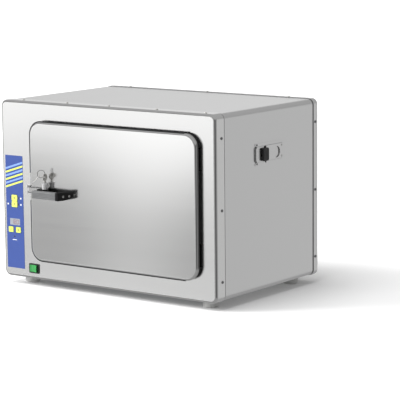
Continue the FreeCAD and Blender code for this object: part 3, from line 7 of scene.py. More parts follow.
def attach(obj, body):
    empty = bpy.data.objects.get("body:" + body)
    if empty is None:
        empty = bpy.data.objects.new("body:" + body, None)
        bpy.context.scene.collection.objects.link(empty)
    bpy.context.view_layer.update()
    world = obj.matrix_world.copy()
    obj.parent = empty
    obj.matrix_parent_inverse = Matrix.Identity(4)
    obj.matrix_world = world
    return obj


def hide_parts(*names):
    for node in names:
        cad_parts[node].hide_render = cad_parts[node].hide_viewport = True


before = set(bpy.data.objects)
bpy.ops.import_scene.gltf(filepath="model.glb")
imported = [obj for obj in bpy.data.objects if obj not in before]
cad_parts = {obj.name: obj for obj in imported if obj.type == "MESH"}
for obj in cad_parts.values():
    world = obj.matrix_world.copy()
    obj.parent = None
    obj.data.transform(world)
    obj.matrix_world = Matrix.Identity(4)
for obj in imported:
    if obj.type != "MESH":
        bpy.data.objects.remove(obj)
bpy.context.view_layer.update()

# Lengths are in millimetres until mesh() turns them into metres.
MM = 0.001
SAME = 1e-6

# Body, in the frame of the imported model
LEFT, RIGHT, FRONT, BACK, LOW, TOP = -300.0, 300.0, -198.0, 198.0, 17.0, 422.0
BODY_SIDES = (LEFT, RIGHT, LOW, TOP)
BODY_CORNER = 15.0
FRONT_FLANGE, BACK_FLANGE = 31.5, 18.3
PANEL_WALL = 1.2

# The casing lies this far inside the panels' flanges.
CASING_IN = 1.3
CASING_SIDES = (LEFT + CASING_IN, RIGHT - CASING_IN, LOW + CASING_IN, TOP - CASING_IN)
CASING_CORNER = 13.7
UNDER_OPENING = 75

# Door and chamber: x0, x1, z0, z1 of each outline
DOOR = (-205.0, 260.0, 63.0, 379.0)
DOOR_FACE, DOOR_RIM = -213.0, -205.0
DOOR_CORNER = 31.0
HINGE_X = 257.0
HINGES = (DOOR[2] + 55, DOOR[3] - 55)
CHAMBER = (-162.5, 217.5, 101.0, 341.0)
CHAMBER_FRONT, CHAMBER_BACK = -196.8, 88.2
CHAMBER_CORNER = 14.0

# Vent on the right side: the outlet's middle and the middle of the knob
VENT_X = RIGHT - CASING_IN
VENT_Y, VENT_Z = FRONT + 226, LOW + 302
VENT_RADIUS = 12.5
KNOB_Y = FRONT + 181

# Handle and lock
GRIP = (-170.0, -101.0, -248.0, -235.0, 212.0, 229.0)
LEG_BEND, LEG_END = LEFT + 206, LEFT + 219
LEG_BACK = FRONT - 19
LOCK = (LEFT + 150, FRONT - 26.5)
LOCK_FOOT = LOW + 198
LEG_TOP = 231.0
PLUG_TOP = LEG_TOP + 14.8
BOLT_CHANNEL = (-210, -155.0, -218.9, -215.1, 221.6, 229.4)
BOW_R, BOW_RISE = 8.0, 6.1
RING_R = 8.5
KEY_TURN = math.radians(36.3)
RING_NORMAL = Vector((math.sin(KEY_TURN), -math.cos(KEY_TURN), 0))

# Control film: each window's x and z from the casing's corner, its width and its height
PADS = {
    "upper": (26.8, 174.6, 16.8, 13.9), "lower": (26.8, 160.2, 16.8, 13.9),
    "minus": (15.8, 102.0, 14.2, 12.8), "plus": (38.0, 102.0, 14.2, 12.8),
}
LEDS = (
    (22.3, 178.5, 2.6, 5.6), (22.3, 164.0, 2.6, 5.6), (45.6, 178.5, 2.6, 5.6),
    (45.6, 164.0, 2.6, 5.6), (31.0, 91.0, 4.0, 3.0),
)
DISPLAY = (20.0, 119.0, 30.0, 15.0)
FILM = FRONT - 0.4
PAD_FACE = FRONT - 1.4
SWITCH = (LEFT + 75.5, LEFT + 105.0, LOW + 13, LOW + 35)


# Mesh helpers

def at(axis, level, a, b):
    """Point at a level of one axis; a and b lie on the two others, in order."""
    if axis == 0:
        return (level, a, b)
    if axis == 1:
        return (a, level, b)
    return (a, b, level)


def mesh(name, points, faces):
    """Object of a point and face list, welded, with its faces turned outward."""
    data = bpy.data.meshes.new(name)
    data.from_pydata([(x * MM, y * MM, z * MM) for x, y, z in points], [], faces)
    build = bmesh.new()
    build.from_mesh(data)
    bmesh.ops.remove_doubles(build, verts=build.verts, dist=SAME)
    bmesh.ops.recalc_face_normals(build, faces=build.faces)
    build.to_mesh(data)
    build.free()
    piece = bpy.data.objects.new(name, data)
    bpy.context.scene.collection.objects.link(piece)
    return piece


def cap(count, ring_number):
    """Face across one ring."""
    return tuple(ring_number * count + j for j in range(count))


def wall(count, lower, upper):
    """Faces between two rings."""
    a, b = lower * count, upper * count
    ends = [(j, (j + 1) % count) for j in range(count)]
    return [(a + j, a + k, b + k, b + j) for j, k in ends]


def loft(name, rings, loop=False):
    """Skin through rings with the same number of points."""
    count = len(rings[0])
    faces = []
    for i in range(len(rings) if loop else len(rings) - 1):
        faces += wall(count, i, (i + 1) % len(rings))
    if not loop:
        faces += [cap(count, 0)[::-1], cap(count, len(rings) - 1)]
    return mesh(name, [p for one in rings for p in one], faces)


def vessel(name, rings, floor_y):
    """Sheet vessel: outer and inner skin in one loop of rings, each closed at its floor."""
    count = len(rings[0])
    faces = []
    floor_ring = max(i for i, one in enumerate(rings) if abs(one[0][1] - floor_y) < SAME)
    for i in range(len(rings)):
        after = (i + 1) % len(rings)
        if i == floor_ring:
            faces += [cap(count, i), cap(count, after)[::-1]]
        else:
            faces += wall(count, i, after)
    return mesh(name, [p for one in rings for p in one], faces)


def join(name, pieces):
    """One mesh of several."""
    data = bpy.data.meshes.new(name)
    build = bmesh.new()
    for piece in pieces:
        build.from_mesh(piece.data)
        bpy.data.objects.remove(piece)
    build.to_mesh(data)
    build.free()
    joined = bpy.data.objects.new(name, data)
    bpy.context.scene.collection.objects.link(joined)
    return joined


def settle(piece):
    """Applies the piece's modifiers."""
    graph = bpy.context.evaluated_depsgraph_get()
    data = bpy.data.meshes.new_from_object(piece.evaluated_get(graph))
    piece.modifiers.clear()
    piece.data = data
    return piece


def combine(piece, others, operation="DIFFERENCE"):
    """Boolean of a piece with each of the others in turn, which are used up."""
    for other in others:
        modifier = piece.modifiers.new("cut", "BOOLEAN")
        modifier.operation = operation
        modifier.solver = "EXACT"
        modifier.object = other
    settle(piece)
    for other in others:
        bpy.data.objects.remove(other)
    return piece


def drawn_in(sides, inset):
    """Sides of an outline that lies inside another."""
    a0, a1, b0, b1 = sides
    return (a0 + inset, a1 - inset, b0 + inset, b1 - inset)


def rounded(a0, a1, b0, b1, radius, steps):
    """Outline of a rounded rectangle."""
    r = max(radius, 0.01)
    points = []
    centres = ((a1 - r, b0 + r), (a1 - r, b1 - r), (a0 + r, b1 - r), (a0 + r, b0 + r))
    for number, (a, b) in enumerate(centres):
        for step in range(steps + 1):
            angle = math.pi / 2 * (number - 1 + step / steps)
            points.append((a + r * math.cos(angle), b + r * math.sin(angle)))
    return points


def ring(axis, level, sides, radius, inset=0.0, steps=10):
    """Rounded rectangle at a level, drawn in by the inset."""
    outline = rounded(*drawn_in(sides, inset), radius - inset, steps)
    return [at(axis, level, a, b) for a, b in outline]


def bend_rings(axis, face, turn, sides, corner, edge, inset, bends, steps):
    """Rings of a quarter bend from the face to the flange."""
    rings = []
    for step in range(bends + 1):
        angle = math.pi / 2 * step / bends
        grow = edge * (1 - math.sin(angle))
        level = face + turn * edge * (1 - math.cos(angle))
        rings.append(ring(axis, level, sides, corner, inset + grow, steps))
    return rings


def pan(name, axis, face, rim, sides, corner, edge, wall, bends, steps):
    """Sheet pan that is open at its rim."""
    turn = 1 if rim > face else -1
    outer = bend_rings(axis, face, turn, sides, corner, edge, 0.0, bends, steps)
    outer.append(ring(axis, rim, sides, corner, 0.0, steps))
    inner_edge = max(edge - wall, 0.2)
    inside_face = face + turn * wall
    inner = bend_rings(axis, inside_face, turn, sides, corner, inner_edge, wall, bends, steps)
    inner.append(ring(axis, rim, sides, corner, wall, steps))
    return loft(name, outer + inner[::-1])


def plate(name, axis, start, end, sides, corner, soft=0.0, bends=3, steps=8):
    """Rounded plate; soft is the radius round both of its faces."""
    if not soft:
        rings = [ring(axis, level, sides, corner, 0.0, steps) for level in (start, end)]
        return loft(name, rings)
    rings = bend_rings(axis, start, 1, sides, corner, soft, 0.0, bends, steps)
    rings += bend_rings(axis, end, -1, sides, corner, soft, 0.0, bends, steps)[::-1]
    return loft(name, rings)


def block(name, x0, x1, y0, y1, z0, z1):
    """Square-edged form, for cuts and for parts that are unioned."""
    return loft(name, [[(x0, y0, z), (x1, y0, z), (x1, y1, z), (x0, y1, z)] for z in (z0, z1)])


def prism(name, outline, axis, start, end):
    """Outline drawn out along an axis."""
    return loft(name, [[at(axis, level, a, b) for a, b in outline] for level in (start, end)])


def turned(name, profile, centre, direction, sides):
    """Lathe form: profile is (radius, height) along the direction from the centre."""
    turn = Vector(direction).to_track_quat("Z", "Y").to_matrix()
    base = Vector(centre)
    rings = []
    for r, height in profile:
        points = []
        for step in range(sides):
            angle = 2 * math.pi * step / sides
            local = Vector((r * math.cos(angle), r * math.sin(angle), height))
            points.append(tuple(base + turn @ local))
        rings.append(points)
    return loft(name, rings)


def tube(name, path, radius, sides):
    """Round wire along a path with two ends."""
    rings = []
    last = len(path) - 1
    for i, here in enumerate(path):
        along = (path[min(i + 1, last)] - path[max(i - 1, 0)]).normalized()
        side = along.cross(RING_NORMAL).normalized()
        up = side.cross(along).normalized()
        rings.append([
            tuple(here + (side * math.cos(t) + up * math.sin(t)) * radius)
            for t in (2 * math.pi * j / sides for j in range(sides))
        ])
    return loft(name, rings)


def bevel(piece, width, segments, angle):
    """Rounded edges, where faces meet at more than the angle."""
    modifier = piece.modifiers.new("edges", "BEVEL")
    modifier.width = width * MM
    modifier.segments = segments
    modifier.limit_method = "ANGLE"
    modifier.angle_limit = math.radians(angle)
    modifier.use_clamp_overlap = True
    return piece


def smooth(piece, sharp):
    """Smooth shading that keeps edges sharper than the angle."""
    piece.data.shade_smooth()
    piece.data.set_sharp_from_angle(angle=math.radians(sharp))
    modifier = piece.modifiers.new("normals", "WEIGHTED_NORMAL")
    modifier.keep_sharp = True
    modifier.weight = 100


def dress(piece, finish, body, nodes=(), sharp=50.0):
    """Finishes a piece: shading, material, body and the nodes it stands for."""
    smooth(piece, sharp)
    piece.data.materials.clear()
    piece.data.materials.append(M[finish])
    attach(piece, body)
    if nodes:
        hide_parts(*nodes)


# Materials

class Nodes:
    """Short calls for a node tree."""

    def __init__(self, tree):
        self.tree = tree

    def new(self, kind, settings=None, **inputs):
        node = self.tree.nodes.new(kind)
        for key, value in (settings or {}).items():
            setattr(node, key, value)
        for key, value in inputs.items():
            by_number = key[0] == "i" and key[1:].isdigit()
            self.feed(node.inputs[int(key[1:]) if by_number else key], value)
        return node

    def feed(self, socket, value):
        if isinstance(value, bpy.types.NodeSocket):
            self.tree.links.new(value, socket)
        else:
            socket.default_value = value

    def math(self, operation, *values):
        inputs = {f"i{number}": value for number, value in enumerate(values)}
        return self.new("ShaderNodeMath", {"operation": operation}, **inputs).outputs[0]

    def noise(self, where, scale, detail, rough):
        node = self.new(
            "ShaderNodeTexNoise", Vector=where, Scale=scale, Detail=detail, Roughness=rough,
        )
        return node.outputs["Fac"]

    def ranged(self, value, low, high, to_low, to_high):
        node = self.new(
            "ShaderNodeMapRange", {"clamp": True},
            i0=value, i1=low, i2=high, i3=to_low, i4=to_high,
        )
        return node.outputs[0]

    def ramp(self, value, stops):
        node = self.new("ShaderNodeValToRGB", i0=value)
        elements = node.color_ramp.elements
        for number, (place, colour) in enumerate(stops):
            element = elements[number] if number < len(elements) else elements.new(place)
            element.position = place
            element.color = (*colour, 1.0)
        return node.outputs["Color"]

    def bump(self, height, strength, distance):
        node = self.new("ShaderNodeBump", Strength=strength, Distance=distance, Height=height)
        return node.outputs["Normal"]


def material(name):
    """Empty material: itself, its nodes, its shader and the object's coordinates."""
    made = bpy.data.materials.new(name)
    made.use_nodes = True
    made.node_tree.nodes.clear()
    nodes = Nodes(made.node_tree)
    shader = nodes.new("ShaderNodeBsdfPrincipled")
    out = nodes.new("ShaderNodeOutputMaterial")
    made.node_tree.links.new(shader.outputs[0], out.inputs[0])
    where = nodes.new("ShaderNodeTexCoord").outputs["Object"]
    return made, nodes, shader, where


def stretched(nodes, where, scale):
    return nodes.new("ShaderNodeMapping", Vector=where, Scale=scale).outputs[0]


def surface(nodes, shader, colour, rough, normal):
    """Feeds the shader's colour, roughness and relief."""
    for socket, value in (("Base Color", colour), ("Roughness", rough), ("Normal", normal)):
        nodes.feed(shader.inputs[socket], value)


def steel(name, colour, rough, grain, lines=2600.0, spread=0.03, relief=0.008, haze=0.008):
    """Brushed sheet: fine lines along the grain, broad faint bands, a few handling marks."""
    made, nodes, shader, where = material(name)
    line_scale = [0.003 if axis in grain else 1.0 for axis in "xyz"]
    band_scale = [0.02 if axis in grain else 1.0 for axis in "xyz"]
    fine = nodes.noise(stretched(nodes, where, line_scale), lines, 3.0, 0.6)
    bands = nodes.noise(stretched(nodes, where, band_scale), 60.0, 2.0, 0.5)
    marks = nodes.noise(where, 9.0, 4.0, 0.55)
    dark = tuple(c * (1 - spread) for c in colour)
    tone = nodes.math("MULTIPLY_ADD", fine, 0.6, 0.0)
    tone = nodes.math("MULTIPLY_ADD", bands, 0.4, tone)
    mixed = nodes.math("MULTIPLY_ADD", marks, 0.5, tone)
    surface(
        nodes, shader, nodes.ramp(tone, [(0.3, dark), (0.7, colour)]),
        nodes.ranged(mixed, 0.4, 1.1, rough - haze, rough + haze),
        nodes.bump(fine, relief, 0.00002),
    )
    shader.inputs["Metallic"].default_value = 1.0
    return made


def cast_metal(name, colour, rough, scale=700.0, spread=0.12, relief=0.06, metal=1.0):
    """Plated or turned metal with fine mottling and small scratches."""
    made, nodes, shader, where = material(name)
    grains = nodes.noise(where, scale, 4.0, 0.6)
    patches = nodes.noise(where, scale / 14.0, 2.0, 0.5)
    dark = tuple(c * (1 - spread) for c in colour)
    surface(
        nodes, shader, nodes.ramp(grains, [(0.35, dark), (0.62, colour)]),
        nodes.ranged(patches, 0.3, 0.7, rough * 0.8, rough * 1.3),
        nodes.bump(grains, relief, 0.00005),
    )
    shader.inputs["Metallic"].default_value = metal
    return made


def moulded(name, colour, rough, scale=900.0, relief=0.12, spread=0.12, coat=0.0):
    """Moulded plastic or rubber with a fine skin texture and handling marks."""
    made, nodes, shader, where = material(name)
    skin = nodes.new("ShaderNodeTexVoronoi", Vector=where, Scale=scale).outputs["Distance"]
    cloud = nodes.noise(where, scale / 20.0, 4.0, 0.6)
    dark = tuple(c * (1 - spread) for c in colour)
    light = tuple(min(1.0, c * (1 + spread / 2)) for c in colour)
    surface(
        nodes, shader, nodes.ramp(cloud, [(0.3, dark), (0.7, light)]),
        nodes.ranged(cloud, 0.3, 0.7, rough - 0.06, rough + 0.08),
        nodes.bump(skin, relief, 0.00006),
    )
    shader.inputs["Coat Weight"].default_value = coat
    shader.inputs["Coat Roughness"].default_value = 0.12
    return made


def glow(made, strength, colour):
    """Gives a material a faint glow of its own."""
    shader = next(n for n in made.node_tree.nodes if n.type == "BSDF_PRINCIPLED")
    shader.inputs["Emission Color"].default_value = (*colour, 1.0)
    shader.inputs["Emission Strength"].default_value = strength


def wool(name):
    """Glass wool: loose fibres in layers."""
    made, nodes, shader, where = material(name)
    fibres = nodes.noise(stretched(nodes, where, (0.2, 0.3, 1.0)), 700.0, 6.0, 0.7)
    layers = nodes.noise(stretched(nodes, where, (0.1, 0.1, 1.0)), 120.0, 3.0, 0.6)
    surface(
        nodes, shader,
        nodes.ramp(fibres, [(0.3, (0.55, 0.47, 0.26)), (0.65, (0.86, 0.79, 0.55))]),
        nodes.ranged(layers, 0.2, 0.8, 0.85, 1.0), nodes.bump(fibres, 0.8, 0.0008),
    )
    return made


def circuit(name):
    """Printed board: solder mask over a grid of tracks."""
    made, nodes, shader, where = material(name)
    tracks = nodes.new("ShaderNodeTexBrick", Vector=where, Scale=260.0).outputs["Fac"]
    cloud = nodes.noise(where, 60.0, 3.0, 0.5)
    mask = nodes.ramp(tracks, [(0.45, (0.012, 0.11, 0.05)), (0.55, (0.03, 0.2, 0.09))])
    rough = nodes.ranged(cloud, 0.3, 0.7, 0.25, 0.4)
    surface(nodes, shader, mask, rough, nodes.bump(tracks, 0.3, 0.00005))
    return made


M = {
    "stainless": steel("brushed_casing", (0.80, 0.80, 0.80), 0.27, "y", 900.0, 0.006, 0.0, 0.006),
    "panel": steel("brushed_panel", (0.82, 0.82, 0.815), 0.18, "x"),
    "stainless_door": steel("brushed_door", (0.81, 0.81, 0.805), 0.12, "x"),
    "liner_steel": steel("liner_sheet", (0.74, 0.74, 0.73), 0.24, "z", 1800.0),
    "tray_steel": steel("tray_sheet", (0.70, 0.70, 0.69), 0.26, "x", 1500.0),
    "rack_steel": steel("rack_sheet", (0.62, 0.62, 0.61), 0.32, "y", 1500.0),
    "zinc_steel": cast_metal("zinc_sheet", (0.60, 0.62, 0.63), 0.36, 140.0, 0.22),
    "wool": wool("glass_wool"),
    "mica": moulded("mica_element", (0.30, 0.24, 0.18), 0.42, 300.0, 0.2, 0.35),
    "board_green": circuit("board_green"),
    "digit": moulded("digit_glow", (0.22, 0.09, 0.10), 0.4, 1200.0, 0.03, 0.05),
}
METALS = {
    # painted shade: near black steel for the hinge leaves, so that the gap at the hinge side reads
    # dark
    "black_steel": ((0.05, 0.05, 0.052), 0.42, 1500.0),
    "screw_steel": ((0.36, 0.36, 0.37), 0.34, 1400.0),
    "bright_screw": ((0.82, 0.82, 0.80), 0.22, 1400.0),
    "lock_chrome": ((0.84, 0.84, 0.85), 0.12, 1600.0, 0.05, 0.03, 0.55),
    "key_nickel": ((0.74, 0.73, 0.70), 0.20, 1500.0, 0.08, 0.06, 0.45),
    # painted shade: the ring's steel is near black, standing in for the shade the ring lies in
    "ring_steel": ((0.10, 0.10, 0.10), 0.24, 1500.0, 0.15),
    "probe_steel": ((0.66, 0.66, 0.65), 0.24, 900.0),
}
PLASTICS = {
    "foot_rubber": ((0.56, 0.56, 0.55), 0.48, 700.0),
    "gasket_rubber": ((0.012, 0.012, 0.013), 0.58, 600.0, 0.2),
    # painted shade: dark grey for the strip that stands in for the seam's shadow line
    "seam_grey": ((0.10, 0.10, 0.10), 0.6, 600.0, 0.2),
    "bush_ceramic": ((0.74, 0.70, 0.62), 0.5, 500.0),
    "cutout_body": ((0.05, 0.05, 0.055), 0.45),
    "knob_black": ((0.014, 0.014, 0.015), 0.40, 800.0, 0.15),
    "magnet_grey": ((0.09, 0.09, 0.095), 0.5),
    "grip_grey": ((0.155, 0.158, 0.16), 0.42, 900.0, 0.15),
    "handle_black": ((0.005, 0.005, 0.0055), 0.62, 900.0, 0.12),
    "film_blue": ((0.040, 0.078, 0.285), 0.42, 1200.0, 0.06, 0.05),
    "ink_light_blue": ((0.21, 0.34, 0.72), 0.45, 1200.0, 0.04, 0.04),
    "ink_yellow": ((0.64, 0.74, 0.13), 0.45, 1200.0, 0.04, 0.04),
    "ink_white": ((0.82, 0.84, 0.86), 0.45, 1200.0, 0.04, 0.04),
    "ink_dark": ((0.10, 0.12, 0.07), 0.5, 1200.0, 0.04, 0.05),
    "key_yellow": ((0.64, 0.74, 0.14), 0.38, 1000.0, 0.1, 0.06, 0.2),
    "display_grey": ((0.28, 0.30, 0.34), 0.22, 1500.0, 0.03, 0.06, 0.6),
    "display_black": ((0.02, 0.02, 0.022), 0.4),
    "led_dark": ((0.03, 0.035, 0.07), 0.22, 1500.0, 0.03, 0.1, 0.5),
    "switch_black": ((0.012, 0.02, 0.014), 0.34, 900.0, 0.12, 0.1, 0.2),
    "rocker_green": ((0.03, 0.26, 0.06), 0.25, 1200.0, 0.04, 0.1, 0.5),
    "inlet_black": ((0.016, 0.016, 0.017), 0.45, 800.0, 0.15),
}
for finish_kind, finishes in ((cast_metal, METALS), (moulded, PLASTICS)):
    for finish, looks in finishes.items():
        M[finish] = finish_kind(finish, *looks)
glow(M["digit"], 0.03, (0.8, 0.2, 0.2))
glow(M["rocker_green"], 0.05, (0.10, 0.75, 0.2))


# Camera and light

def camera():
    """Camera at the photograph's viewing angle."""
    data = bpy.data.cameras.new("camera")
    made = bpy.data.objects.new("camera", data)
    bpy.context.scene.collection.objects.link(made)
    right = Vector((0.80637, 0.59133, -0.00946))
    up = Vector((-0.08410, 0.13049, 0.98788))
    back = Vector((0.58540, -0.79580, 0.15495))
    turn = Matrix((right, up, back)).transposed().to_4x4()
    made.matrix_world = Matrix.Translation((2.648902, -3.447388, 0.870850)) @ turn
    data.sensor_width = 36.0
    data.lens = 173.87
    data.clip_end = 100.0
    bpy.context.scene.camera = made


def toward(azimuth, elevation):
    """Direction from the object; azimuth 0 is in front of it, 90 on its right."""
    a, e = math.radians(azimuth), math.radians(elevation)
    return Vector((math.sin(a) * math.cos(e), -math.cos(a) * math.cos(e), math.sin(e)))


def studio():
    """Room seen by the steel: pale walls, a bright card in front, dark beside the camera."""
    world = bpy.data.worlds.new("studio")
    world.use_nodes = True
    bpy.context.scene.world = world
    world.node_tree.nodes.clear()
    nodes = Nodes(world.node_tree)
    where = nodes.new("ShaderNodeTexCoord").outputs["Generated"]

    def lobe(azimuth, elevation, start, end, low, high):
        dot = nodes.new(
            "ShaderNodeVectorMath", {"operation": "DOT_PRODUCT"},
            i0=where, i1=toward(azimuth, elevation),
        ).outputs["Value"]
        return nodes.new(
            "ShaderNodeMapRange", {"interpolation_type": "SMOOTHSTEP"},
            i0=dot, i1=start, i2=end, i3=low, i4=high,
        ).outputs[0]

    # overhead and floor light, then the soft walls round the object
    above = lobe(0, 90, 0.20, 0.42, 0.06, 0.42)
    below = lobe(0, -90, 0.20, 0.42, 0.06, 0.34)
    sky = nodes.math("MAXIMUM", above, below)
    room = lobe(180, 3, 0.60, 0.78, 0.10, 0.40)
    for azimuth, elevation, start, end, level in (
        (216, 9, 0.90, 0.975, 0.38), (144, -9, 0.90, 0.975, 0.20), (-3, -5, 0.82, 0.96, 0.30),
        (104, -3, 0.86, 0.97, 0.22), (-70, -5, 0.89, 0.975, 0.28),
    ):
        room = nodes.math("ADD", room, lobe(azimuth, elevation, start, end, 0.0, level))
    room = nodes.math("MAXIMUM", room, sky)
    # bright card that the front mirrors, with two soft shadows in it
    card = lobe(-39, 81.5, -0.07, 0.025, 1.14, 1.38)
    for azimuth, elevation in ((-41.6, -9.8), (-35.0, -10.8)):
        shadow = lobe(azimuth, elevation, 0.9976, 0.9997, 1.0, 0.25)
        card = nodes.math("MULTIPLY", card, shadow)
    share = lobe(-39, -8.5, 0.955, 0.985, 0.0, 1.0)
    rest = nodes.math("SUBTRACT", 1.0, share)
    total = nodes.math(
        "ADD", nodes.math("MULTIPLY", room, rest), nodes.math("MULTIPLY", card, share),
    )
    shader = nodes.new("ShaderNodeBackground", Color=(1.0, 1.0, 1.0, 1.0), Strength=total)
    out = nodes.new("ShaderNodeOutputWorld")
    world.node_tree.links.new(shader.outputs[0], out.inputs[0])


def sun(name, azimuth, elevation, strength, spread):
    """Broad soft light from a direction, which the steel doesn't mirror."""
    data = bpy.data.lights.new(name, "SUN")
    data.energy = strength
    data.angle = math.radians(spread)
    made = bpy.data.objects.new(name, data)
    bpy.context.scene.collection.objects.link(made)
    made.rotation_mode = "QUATERNION"
    made.rotation_quaternion = toward(azimuth, elevation).to_track_quat("Z", "Y")
    made.visible_glossy = False


def floor():
    """Plain pale floor, just under the feet."""
    half, level = 60000.0, -0.3
    steps = 12
    marks = [(i / steps - 0.5) * 2 * half for i in range(steps + 1)]
    points = [(x, y, level) for x in marks for y in marks]
    faces = []
    for i in range(steps):
        for j in range(steps):
            a = i * (steps + 1) + j
            faces.append((a, a + 1, a + steps + 2, a + steps + 1))
    made = mesh("studio_floor", points, faces)
    paper, nodes, shader, where = material("pale_paper")
    cloud = nodes.noise(where, 3.0, 3.0, 0.5)
    tint = nodes.ramp(cloud, [(0.3, (0.89, 0.89, 0.89)), (0.7, (0.91, 0.91, 0.91))])
    nodes.feed(shader.inputs["Base Color"], tint)
    shader.inputs["Emission Color"].default_value = (1.0, 1.0, 1.0, 1.0)
    shader.inputs["Emission Strength"].default_value = 0.05
    nodes.feed(shader.inputs["Roughness"], nodes.ranged(cloud, 0.3, 0.7, 0.85, 0.95))
    shader.inputs["Specular IOR Level"].default_value = 0.1
    made.data.materials.append(paper)
    made.visible_glossy = False


bpy.context.scene.view_settings.view_transform = "Standard"
camera()
studio()
floor()
sun("left_sky", -58, 24, 4.6, 34.0)
sun("front_sky", -30, 72, 2.0, 40.0)


# Screws

def screw_head(name, seat, outward, r, h, slotted):
    """Domed head, with a cross recess where it is slotted."""
    profile = [
        (r * 0.98, -0.1), (r, h * 0.3), (r * 0.9, h * 0.68), (r * 0.62, h * 0.93), (r * 0.25, h),
    ]
    head = turned(name, profile, seat, outward, 20)
    if not slotted:
        return head
    turn = Vector(outward).to_track_quat("Z", "Y").to_matrix().to_4x4()
    place = Matrix.Translation(Vector(seat) * MM) @ turn
    arms = []
    for half_a, half_b in ((r * 0.62, r * 0.15), (r * 0.15, r * 0.62)):
        arm = block(name + "_arm", -half_a, half_a, -half_b, half_b, h * 0.35, h + 1)
        arm.data.transform(place)
        arms.append(arm)
    return combine(head, arms)


def heads(name, seats, radius, height, finish, body="case", nodes=(), slotted=True):
    """Heads at their seats, each a point and a direction, as one piece."""
    pieces = [
        screw_head(name + str(number), seat, outward, radius, height, slotted)
        for number, (seat, outward) in enumerate(seats)
    ]
    dress(join(name, pieces), finish, body, nodes, 40.0)


side_seats = []
for share in (0.11, 0.49, 0.87):
    z = LOW + share * (TOP - LOW)
    for y in (FRONT + 22, BACK - 12):
        side_seats += [((LEFT, y, z), (-1, 0, 0)), ((RIGHT, y, z), (1, 0, 0))]
top_seats = []
for y, shares in ((FRONT + 16, (0.092, 0.305, 0.503, 0.723, 0.94)), (BACK - 12, (0.12, 0.5, 0.88))):
    for share in shares:
        top_seats.append(((LEFT + share * (RIGHT - LEFT), y, TOP), (0, 0, 1)))
heads("side_screw_heads", side_seats, 3.3, 1.7, "screw_steel", nodes=["flange_screws"])
heads("top_screw_heads", top_seats, 3.3, 1.7, "key_nickel")


# Casing, front and back

def casing():
    """Wrap of top, sides and bottom bends, open underneath."""
    low = CASING_SIDES[2]
    gap = CASING_SIDES[1] - UNDER_OPENING

    def wrap(inset):
        outline = rounded(*drawn_in(CASING_SIDES, inset), CASING_CORNER - inset, 10)
        return [(gap, low + inset), *outline, (-gap, low + inset)]

    sheet = wrap(0.0) + wrap(1.0)[::-1]
    return prism("casing_sheet", sheet, 1, FRONT + 6.1, BACK - 4.1)


def vent_cutter(x0, x1, name):
    """Rod through the outlet's middle."""
    profile = [(VENT_RADIUS, 0), (VENT_RADIUS, x1 - x0)]
    return turned(name, profile, (x0, VENT_Y, VENT_Z), (1, 0, 0), 48)


casing_piece = combine(casing(), [vent_cutter(280, 320, "vent_cut")])
dress(casing_piece, "stainless", "case", ["casing_wrap"])


def on_panel(record):
    """Sides of a window of the film, in the frame."""
    x, z, width, height = record
    return (LEFT + x, LEFT + x + width, LOW + z, LOW + z + height)


def through_front(name, sides):
    """Cutter through the front panel's sheet."""
    x0, x1, z0, z1 = sides
    return block(name, x0, x1, FRONT - 5, FRONT + 5, z0, z1)


def front_panel():
    """Drawn pan, cut one opening at a time because joined cutters that overlap drop the sheet."""
    rim = FRONT + FRONT_FLANGE
    made = pan("front_panel_sheet", 1, FRONT, rim, BODY_SIDES, BODY_CORNER, 6.0, PANEL_WALL, 10, 10)
    cutters = []
    for records, play in ((PADS.values(), 0.3), ((*LEDS, DISPLAY), 0.1)):
        for record in records:
            cutters.append(through_front("window", drawn_in(on_panel(record), -play)))
    cutters.append(through_front("switch_cut", drawn_in(SWITCH, 1.2)))
    mouth = plate("mouth_cut", 1, FRONT - 5, FRONT + 5, CHAMBER, CHAMBER_CORNER, steps=10)
    cutters.append(mouth)
    trim = (LEFT + BODY_CORNER, RIGHT - BODY_CORNER, FRONT + 22, FRONT + 40, LOW - 5, LOW + 1.3)
    cutters.append(block("trim_cut", *trim))
    return combine(made, cutters)


dress(front_panel(), "panel", "case", ["front_panel"])


def back_panel():
    """Shallow pan with the inlet's opening and six air slots."""
    rim = BACK - BACK_FLANGE
    made = pan("back_panel_sheet", 1, BACK, rim, BODY_SIDES, BODY_CORNER, 4.0, PANEL_WALL, 8, 10)
    y0, y1 = BACK - 5, BACK + 5
    cutters = [block("inlet_cut", -270.1, -241.9, y0, y1, 52.9, 85.1)]
    for row in range(6):
        z = LOW + 150 + row * 14
        cutters.append(plate("slot_cut", 1, y0, y1, (-278, -234, z, z + 4), 1.9, steps=5))
    return combine(made, [join("back_cuts", cutters)])


dress(back_panel(), "stainless", "case", ["back_panel"])


def seam_shade_line(name, y0, y1):
    """Dark bead where a flange lies on the casing, from the flange outward; it is painted shade
    that stands in for the seam's shadow line.
    """
    section = ((y0, 0.0), (y0, -0.8), ((y0 + y1) / 2, -0.6), (y1, 0.0))
    rings = [ring(1, y, CASING_SIDES, CASING_CORNER, inset) for y, inset in section]
    return loft(name, rings if y1 > y0 else rings[::-1], loop=True)


# painted shade: a dark grey strip along each flange's edge stands in for the seam's shadow line
for bead_name, bead_start, bead_end in (
    ("front_seam_shade_line", FRONT + 31.55, FRONT + 35.0), ("back_seam_shade_line", BACK - 18.35, BACK - 21.5),
):
    bead = seam_shade_line(bead_name, bead_start, bead_end)
    dress(bead, "seam_grey", "case")


# Feet

def feet():
    """Four turned rubber feet with a hollow underside."""
    made = []
    for x in (-253, 253):
        for y in (-154, 154):
            profile = [
                (10.0, 0.8), (11.0, 0.0), (15.4, 0.0), (16.4, 0.8), (16.8, 2.5), (17.4, 11.0),
                (18.0, 16.6), (17.8, 17.2), (12.0, 17.2),
            ]
            made.append(turned("foot", profile, (x, y, 0.05), (0, 0, 1), 40))
    return join("foot_pads", made)


dress(feet(), "foot_rubber", "case", ["feet"], 40.0)


# Door

